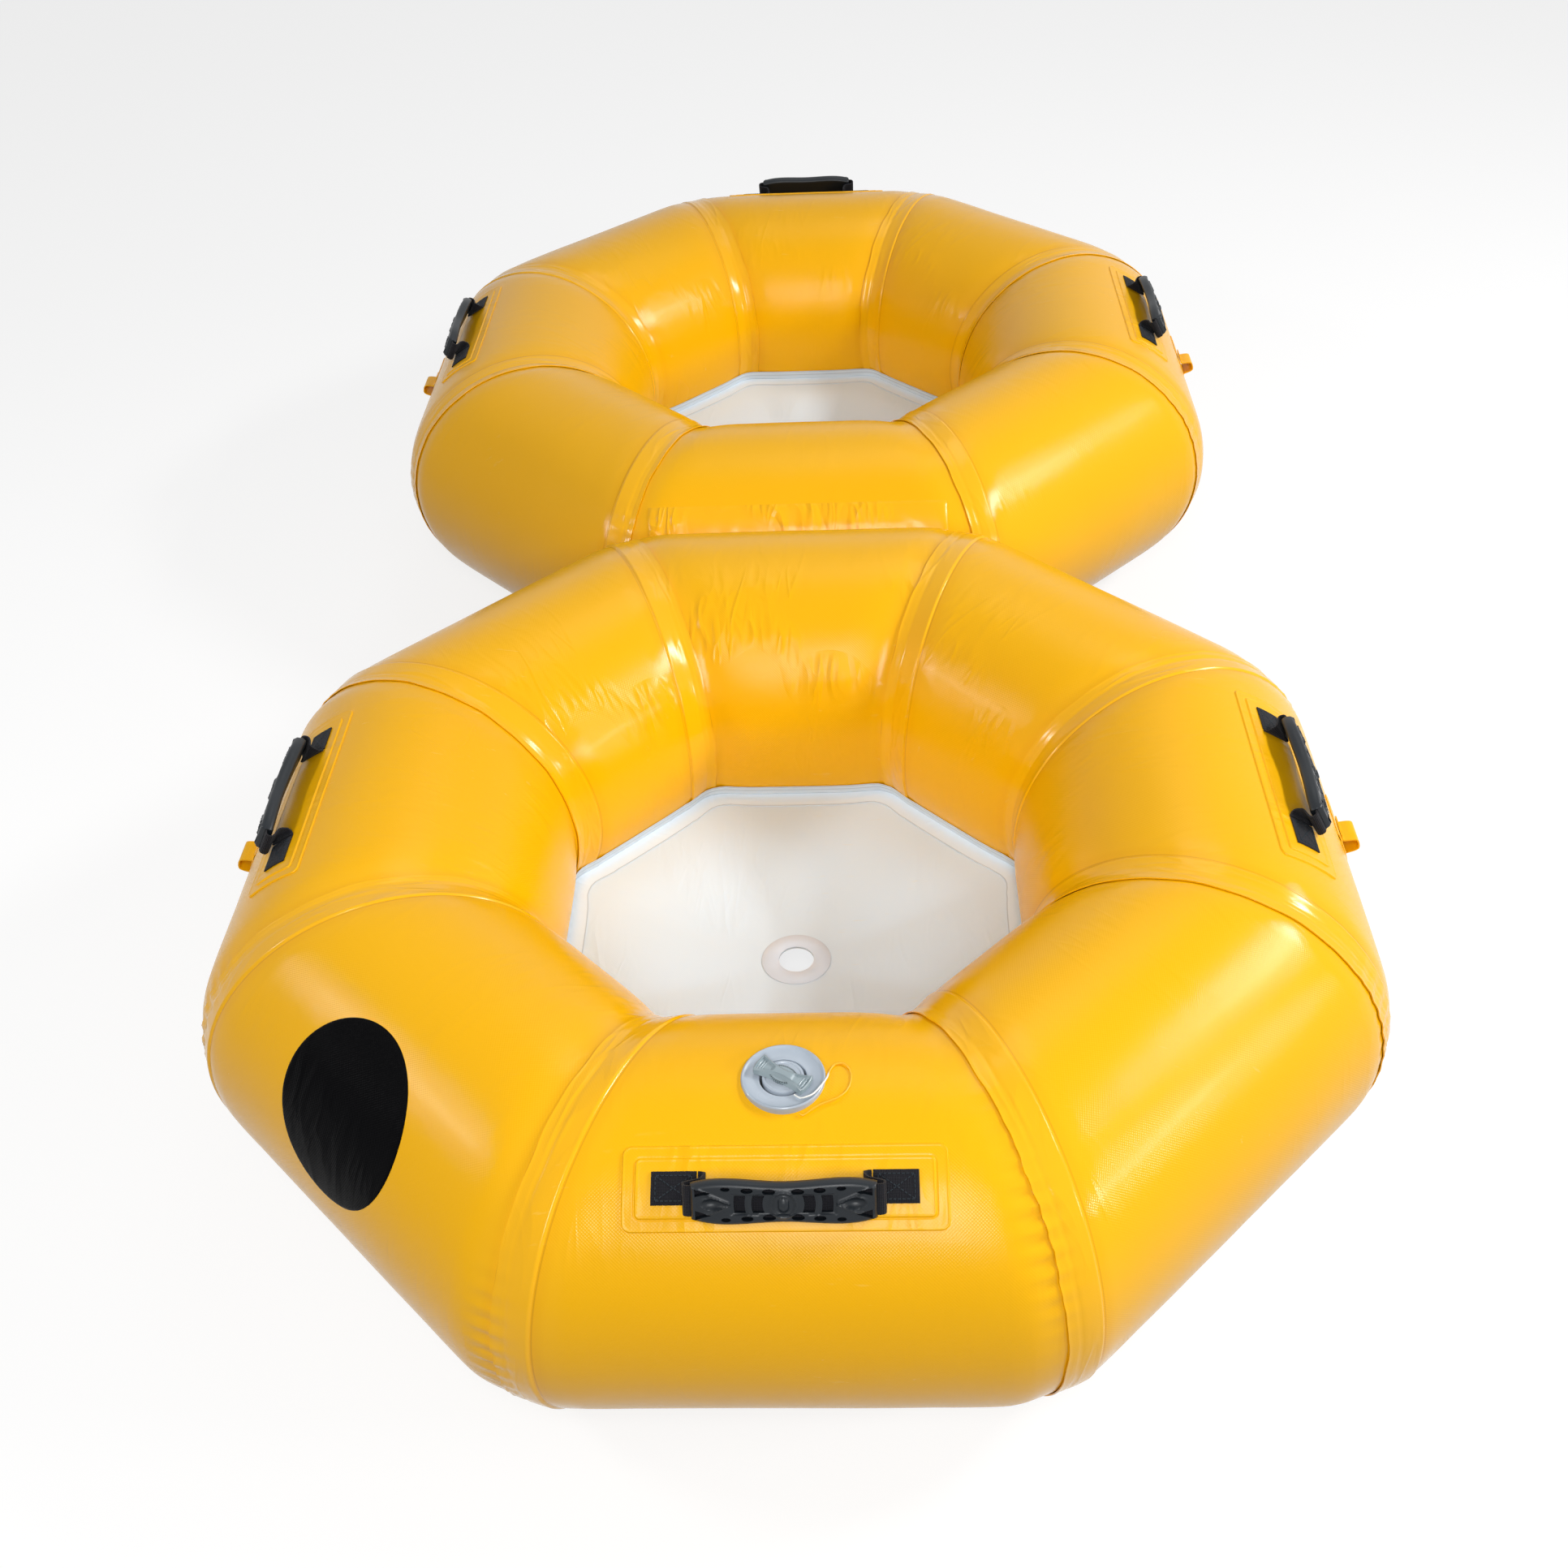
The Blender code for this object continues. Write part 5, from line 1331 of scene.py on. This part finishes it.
def ribbon(name, fine, width, steps, spot_at):
    """A flat band along a fine route, its spots from a point of the route and an offset across it."""
    band, along, across = grid(name, len(fine) - 1, steps)
    index = np.rint(along * (len(fine) - 1)).astype(int)
    move_to(band, np.array([
        spot_at(fine[number], (share - 0.5) * width) for number, share in zip(index, across)
    ]))
    run = np.cumsum([0.0] + [(b - a).to_3d().length for a, b in zip(fine, fine[1:])])
    map_cloth(band, run[index], across * width)
    return band


class RIVERTUBE_OT_tie_loops(bpy.types.Operator):
    """Add the four tie loops on the outer sides"""

    bl_idname = "river_tube.tie_loops"
    bl_label = "Add Tie Loops"

    def execute(self, context):
        rings, sizes = context.scene.river_rings, context.scene.river_fittings
        for ring in RINGS:
            for place, shift in (("left", -0.021), ("right", 0.021)):
                self.add_loop(rings, sizes, ring, place, shift)
        return {"FINISHED"}

    def add_loop(self, rings, sizes, ring, place, shift):
        """Adds a patch and the curled band that stands off it, open along the tube."""
        side = PLACES.index(place)
        name = f"{ring}_ring_{place}_tie_loop"
        patch, along, across = grid(f"{name}_patch", 38, 32)
        long, wide = 0.0375, 0.031
        x, y = rounded((along - 0.5) * 2.0 * long, (across - 0.5) * 2.0 * wide, long, wide, 0.009)
        edge = np.minimum(long - np.abs(x), wide - np.abs(y))
        height = rings.clearance + 0.0012 - 0.0007 * (1.0 - eased(edge / 0.0022))
        wrap_on_tube(patch, rings, ring, side, shift + x, LOOP_ANGLE + y / rings.tube_radius, height)
        dress_sheet(patch, 0.0008, "patch fabric", "yellow_fabric", name)
        top = rings.clearance + 0.0012 + 0.0010
        half = [(0.0185, 0.0), (0.0140, 0.0), (0.0108, 0.0002), (0.0090, 0.0016), (0.0084, 0.0060),
                (0.0076, 0.0110), (0.0060, 0.0146), (0.0030, 0.0158)]
        route = [Vector((-y, z)) for y, z in half] + [Vector((0.0, 0.0160))]
        route += [Vector((y, z)) for y, z in reversed(half)]
        fine = smooth_curve(route, 5)
        flat = math.radians(15.0)
        up_slope = Vector((-math.sin(flat), 0.0, math.cos(flat)))
        off_skin = Vector((math.cos(flat), 0.0, math.sin(flat)))
        place_at = side_frame(rings, ring, side)

        def spot_at(point, offset):
            slide, stand = point
            spot = off_skin * (rings.tube_radius + top + stand) + up_slope * slide
            return place_at @ (spot + Vector((0.0, shift + offset, 0.0)))

        band = ribbon(f"{name}_band", fine, sizes.loop_width, 10, spot_at)
        dress_sheet(band, 0.0016, "patch fabric", "yellow_fabric", name, offset=0.0)


def valve_frame(rings):
    """Frame on top of the front tube at the valve: x along the tube, y inwards, z up."""
    side = side_frame(rings, "front", 0) @ Matrix.Translation((0.0, 0.0067, rings.tube_radius))
    return side @ Matrix.Rotation(math.pi / 2.0, 4, "Z")


class RIVERTUBE_OT_valve(bpy.types.Operator):
    """Add the inflation valve: its dished flange, plug, knob and tether"""

    bl_idname = "river_tube.valve"
    bl_label = "Add Valve"

    knob_reach = 0.0260
    hub_facets = 160
    cord_thickness = 0.0016

    def execute(self, context):
        rings = context.scene.river_rings
        place = valve_frame(rings)
        flange = lathe("valve_flange", (
            (0.0365, -0.0120), (0.0365, 0.0012), (0.0363, 0.0024), (0.0358, 0.0031), (0.0351, 0.0034),
            (0.0343, 0.0031), (0.0335, 0.0023), (0.0318, 0.0017), (0.0290, 0.0012), (0.0255, 0.0008),
            (0.0225, 0.0008), (0.0214, 0.0011), (0.0206, 0.0009), (0.0203, 0.0000), (0.0203, -0.0060),
            (0.0172, -0.0060), (0.0172, -0.0200), (0.0210, -0.0200), (0.0210, -0.0270), (0.0240, -0.0270),
            (0.0240, -0.0120), (0.0365, -0.0120),
        ))
        flange.data.transform(place)
        smooth(flange)
        dress(flange, "valve plastic", nodes=["valve_base", "valve_collar", "valve_sleeve"])
        plug = lathe("valve_plug_disc", (
            (0.0150, -0.0120), (0.0150, -0.0040), (0.0183, -0.0036), (0.0183, 0.0018), (0.0180, 0.0026),
            (0.0172, 0.0030), (0.0160, 0.0030), (0.0154, 0.0024), (0.0146, 0.0024), (0.0140, 0.0028),
            (0.0060, 0.0029), (0.0, 0.0030),
        ), capped=True)
        plug.data.transform(place)
        smooth(plug)
        dress(plug, "valve plastic", "valve_cap", ["valve_plug"])
        for part in (self.make_knob(), self.make_hub()):
            part.data.transform(place @ Matrix.Rotation(KNOB_TURN, 4, "Z"))
            dress(part, "knob plastic", "valve_cap", ["valve_plug"])
        self.add_tether(place)
        for node, finish in (("valve_seal_washer", "valve rubber"), ("valve_flap", "valve rubber"),
                             ("valve_flap_seat", "valve plastic"), ("valve_backing_nut", "valve plastic")):
            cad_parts[node].material_slots[0].material = bpy.data.materials[finish]
        return {"FINISHED"}

    def make_knob(self):
        """The bow-tie knob: two toothed fans joined by a waist, with a sunk face."""
        knob, along, across = grid("valve_knob", 104, 36)
        u, v = (along - 0.5) * 2.0, (across - 0.5) * 2.0
        away = np.abs(u)
        half = self.knob_half_width(away)
        corner = np.clip((away * self.knob_reach - 0.0228) / 0.0032, 0.0, 1.0)
        half = half - 0.0030 * (1.0 - np.sqrt(1.0 - corner ** 2))
        x = u * self.knob_reach - np.sign(u) * (v ** 2) * 0.0012 * away ** 4
        y = v * half
        move_to(knob, np.column_stack((x, y, np.zeros(len(x)))))
        modify(knob, "SOLIDIFY", thickness=0.0080, offset=-1.0)
        spots = places_of(knob)
        x, y, z = spots[:, 0], spots[:, 1], spots[:, 2]
        reach = np.clip(np.abs(x) / self.knob_reach, 0.0, 1.0)
        half = self.knob_half_width(reach)
        edge = np.minimum(half - np.abs(y), 0.0262 - np.abs(x) - y ** 2 * 12.0)
        round_off = 0.0012 * (1.0 - eased(edge / 0.0014))
        sunk = 0.0020 * eased((edge - 0.0016) / 0.0010) * eased((reach - 0.30) / 0.16)
        ribs = 0.0005 * np.sin((np.abs(x) - 0.018) * math.tau / 0.0022) * eased((edge - 0.0024) / 0.0008)
        sunk = sunk - ribs * eased((reach - 0.66) / 0.06)
        skirt = 1.0 + (0.0046 / half) * (1.0 - reach ** 1.5)
        top = z > -0.0040
        move_to(knob, np.column_stack((
            x, np.where(top, y, y * skirt), np.where(top, 0.0084 - round_off - sunk, 0.0030))))
        smooth(knob, 45.0)
        return knob

    def knob_half_width(self, reach):
        """Half the knob's width: a slim waist that flares to the ends."""
        return 0.0037 + 0.0070 * reach ** 1.7

    def make_hub(self):
        """The knurled hub under the knob, its gaps pressed in between teeth."""
        facets = self.hub_facets
        hub = cylinder("valve_hub", vertices=facets, radius=0.0132, depth=0.0028, location=(0.0, 0.0, 0.0043))
        bpy.ops.object.mode_set(mode="EDIT")
        select_in_edit(hub, "FACE", lambda face: (
            abs(face.normal.z) < 0.5
            and int(math.atan2(face.normal.y, face.normal.x) / math.tau * facets + facets) % 4 < 2))
        bpy.ops.mesh.extrude_region_shrink_fatten(TRANSFORM_OT_shrink_fatten={"value": -0.0016})
        bpy.ops.mesh.select_all(action="SELECT")
        bpy.ops.transform.resize(value=(1.0, 0.69, 1.0))
        bpy.ops.object.mode_set(mode="OBJECT")
        smooth(hub, 30.0)
        return hub

    def add_tether(self, place):
        """Adds the tether: over the flange's rim, round a slack loop on the tube and back to the flange."""
        fine = smooth_curve([Vector(point) for point in TETHER_ROUTE], 2)
        curve = bpy.data.curves.new("valve_tether_cord", "CURVE")
        curve.dimensions = "3D"
        curve.bevel_depth = self.cord_thickness / 2.0
        curve.bevel_resolution = 4
        curve.use_fill_caps = True
        spline = curve.splines.new("POLY")
        spline.points.add(len(fine) - 1)
        spots = [place @ point for point in fine]
        for point, spot in zip(spline.points, spots):
            point.co = (*spot, 1.0)
        tether = bpy.data.objects.new("valve_tether_cord", curve)
        bpy.context.scene.collection.objects.link(tether)
        dress(tether, "tether cord", nodes=["valve_tether"])
        total = sum((b - a).length for a, b in zip(spots, spots[1:]))
        tuple(spots[0])


class RIVERTUBE_OT_black_patch(bpy.types.Operator):
    """Add the plain dark patch on the front left tube"""

    bl_idname = "river_tube.black_patch"
    bl_label = "Add Black Patch"

    def execute(self, context):
        rings = context.scene.river_rings
        patch, along, across = grid("front_left_black_patch", 96, 96)
        u, v = (along - 0.5) * 2.0, (across - 0.5) * 2.0
        # A square of cells drawn in to a disc, a little fuller at one side
        x = u * np.sqrt(1.0 - v ** 2 / 2.0)
        y = v * np.sqrt(1.0 - u ** 2 / 2.0)
        reach = np.hypot(x, y)
        length_along = 0.0006 + x * 0.0852
        angle = (0.1111 + y * 0.0892 * (1.0 - 0.06 * x)) / rings.tube_radius
        height = rings.clearance + 0.0006 - 0.0006 * eased((reach - 0.975) / 0.025)
        wrap_on_tube(patch, rings, "front", 7, length_along, angle, height)
        dress_sheet(patch, 0.0006, "black fabric", "black_webbing")
        return {"FINISHED"}


class RIVERTUBE_OT_stage(bpy.types.Operator):
    """Add the camera, the lamps, the world and the pale floor"""

    bl_idname = "river_tube.stage"
    bl_label = "Set Stage"

    camera_spot = (0.0798, -1.9974, 1.5002)
    camera_turn = (-0.0578, 0.6854, -0.0564)
    lens = 40.455
    even_light = 0.150
    shown_white = 1.0
    floor_white = 0.78

    def execute(self, context):
        scene = context.scene
        scene.view_settings.view_transform = "Standard"
        self.add_camera(scene)
        self.light_world(scene)
        self.add_lamps()
        self.add_floor()
        return {"FINISHED"}

    def add_camera(self, scene):
        """Adds the camera where the photograph was taken."""
        yaw, pitch, roll = self.camera_turn
        ahead = Vector((math.sin(yaw) * math.cos(pitch), math.cos(yaw) * math.cos(pitch), -math.sin(pitch)))
        right = Vector((math.cos(yaw), -math.sin(yaw), 0.0))
        up = right.cross(ahead)
        level = right * math.cos(roll) + up * math.sin(roll)
        upright = up * math.cos(roll) - right * math.sin(roll)
        eye = bpy.data.cameras.new("camera")
        eye.lens = self.lens
        eye.sensor_width = 36.0
        holder = bpy.data.objects.new("camera", eye)
        scene.collection.objects.link(holder)
        axes = Matrix((level, upright, -ahead)).transposed().to_4x4()
        holder.matrix_world = Matrix.Translation(self.camera_spot) @ axes
        scene.camera = holder

    def light_world(self, scene):
        """Lights the object evenly and shows white behind it."""
        world = bpy.data.worlds.new("studio")
        world.use_nodes = True
        tree = world.node_tree
        tree.nodes.clear()
        even, white = (
            value_of(tree, "ShaderNodeBackground", 0, {"Color": WHITE, "Strength": strength})
            for strength in (self.even_light, self.shown_white)
        )
        both = value_of(tree, "ShaderNodeMixShader", 0, {0: mirrored(tree), 1: even, 2: white})
        add_node(tree, "ShaderNodeOutputWorld", {"Surface": both})
        scene.world = world

    def add_lamps(self):
        """Adds the soft lamps whose reflections model the tubes."""
        lamps = (
            ("right_lamp", (2.7, 0.0, 2.15), (0.0, 0.0, 0.25), (1.25, 0.32), 64.0),
            ("low_right_lamp", (3.0, -1.5, 1.25), (0.4, -1.0, 0.3), (0.6, 0.24), 24.0),
            ("left_lamp", (-2.4, -0.7, 1.9), (-0.3, -0.7, 0.3), (0.6, 0.24), 17.0),
            ("front_lamp", (0.08, -2.75, 2.2), (0.0, -0.3, 0.3), (0.50, 1.5), 50.0),
            ("rear_lamp", (0.4, 1.6, 3.3), (0.0, 0.6, 0.2), (1.4, 1.4), 9.0),
        )
        for name, spot, aim, size, power in lamps:
            light = bpy.data.lights.new(name, "AREA")
            light.shape = "RECTANGLE"
            light.size, light.size_y = size
            light.energy = power
            holder = bpy.data.objects.new(name, light)
            bpy.context.scene.collection.objects.link(holder)
            holder.location = spot
            holder.rotation_euler = (Vector(aim) - Vector(spot)).to_track_quat("-Z", "Y").to_euler()

    def add_floor(self):
        """Adds the pale floor, which keeps a soft shadow."""
        pick_none()
        bpy.ops.mesh.primitive_plane_add(size=40.0, location=(0.0, 0.0, -0.0004))
        floor = named("studio_floor")
        tree, shader = new_finish(
            "studio floor", Base_Color=(0.25, 0.25, 0.25, 1.0), Roughness=0.9, Specular_IOR_Level=0.0,
            Emission_Color=WHITE,
        )
        paint(shader, Emission_Strength=mirrored(tree) * self.floor_white)
        floor.data.materials.append(bpy.data.materials["studio floor"])


OPERATORS = (
    RIVERTUBE_OT_stage, RIVERTUBE_OT_finishes, RIVERTUBE_OT_tubes, RIVERTUBE_OT_joining_strips,
    RIVERTUBE_OT_floors, RIVERTUBE_OT_handles, RIVERTUBE_OT_tie_loops, RIVERTUBE_OT_valve,
    RIVERTUBE_OT_black_patch,
)


class RIVERTUBE_PT_panel(bpy.types.Panel):
    """Lists the tube's pieces in the sidebar"""

    bl_idname = "RIVERTUBE_PT_panel"
    bl_label = "River Tube"
    bl_space_type = "VIEW_3D"
    bl_region_type = "UI"
    bl_category = "River Tube"

    def draw(self, context):
        for operator in OPERATORS:
            self.layout.operator(operator.bl_idname)


CLASSES = (RingSizes, FittingSizes, Finishes) + OPERATORS + (RIVERTUBE_PT_panel,)


def register():
    """Registers the classes and the sizes and colours on the scene."""
    for kind in CLASSES:
        bpy.utils.register_class(kind)
    bpy.types.Scene.river_rings = bpy.props.PointerProperty(type=RingSizes)
    bpy.types.Scene.river_fittings = bpy.props.PointerProperty(type=FittingSizes)
    bpy.types.Scene.river_finishes = bpy.props.PointerProperty(type=Finishes)


def unregister():
    """Takes the classes and settings away again."""
    del bpy.types.Scene.river_finishes
    del bpy.types.Scene.river_fittings
    del bpy.types.Scene.river_rings
    for kind in reversed(CLASSES):
        bpy.utils.unregister_class(kind)


def main():
    """Makes the whole scene."""
    register()
    bpy.ops.river_tube.stage()
    bpy.ops.river_tube.finishes()
    bpy.ops.river_tube.tubes()
    bpy.ops.river_tube.joining_strips()
    bpy.ops.river_tube.floors()
    bpy.ops.river_tube.handles()
    bpy.ops.river_tube.tie_loops()
    bpy.ops.river_tube.valve()
    bpy.ops.river_tube.black_patch()


if __name__ == "__main__":
    main()
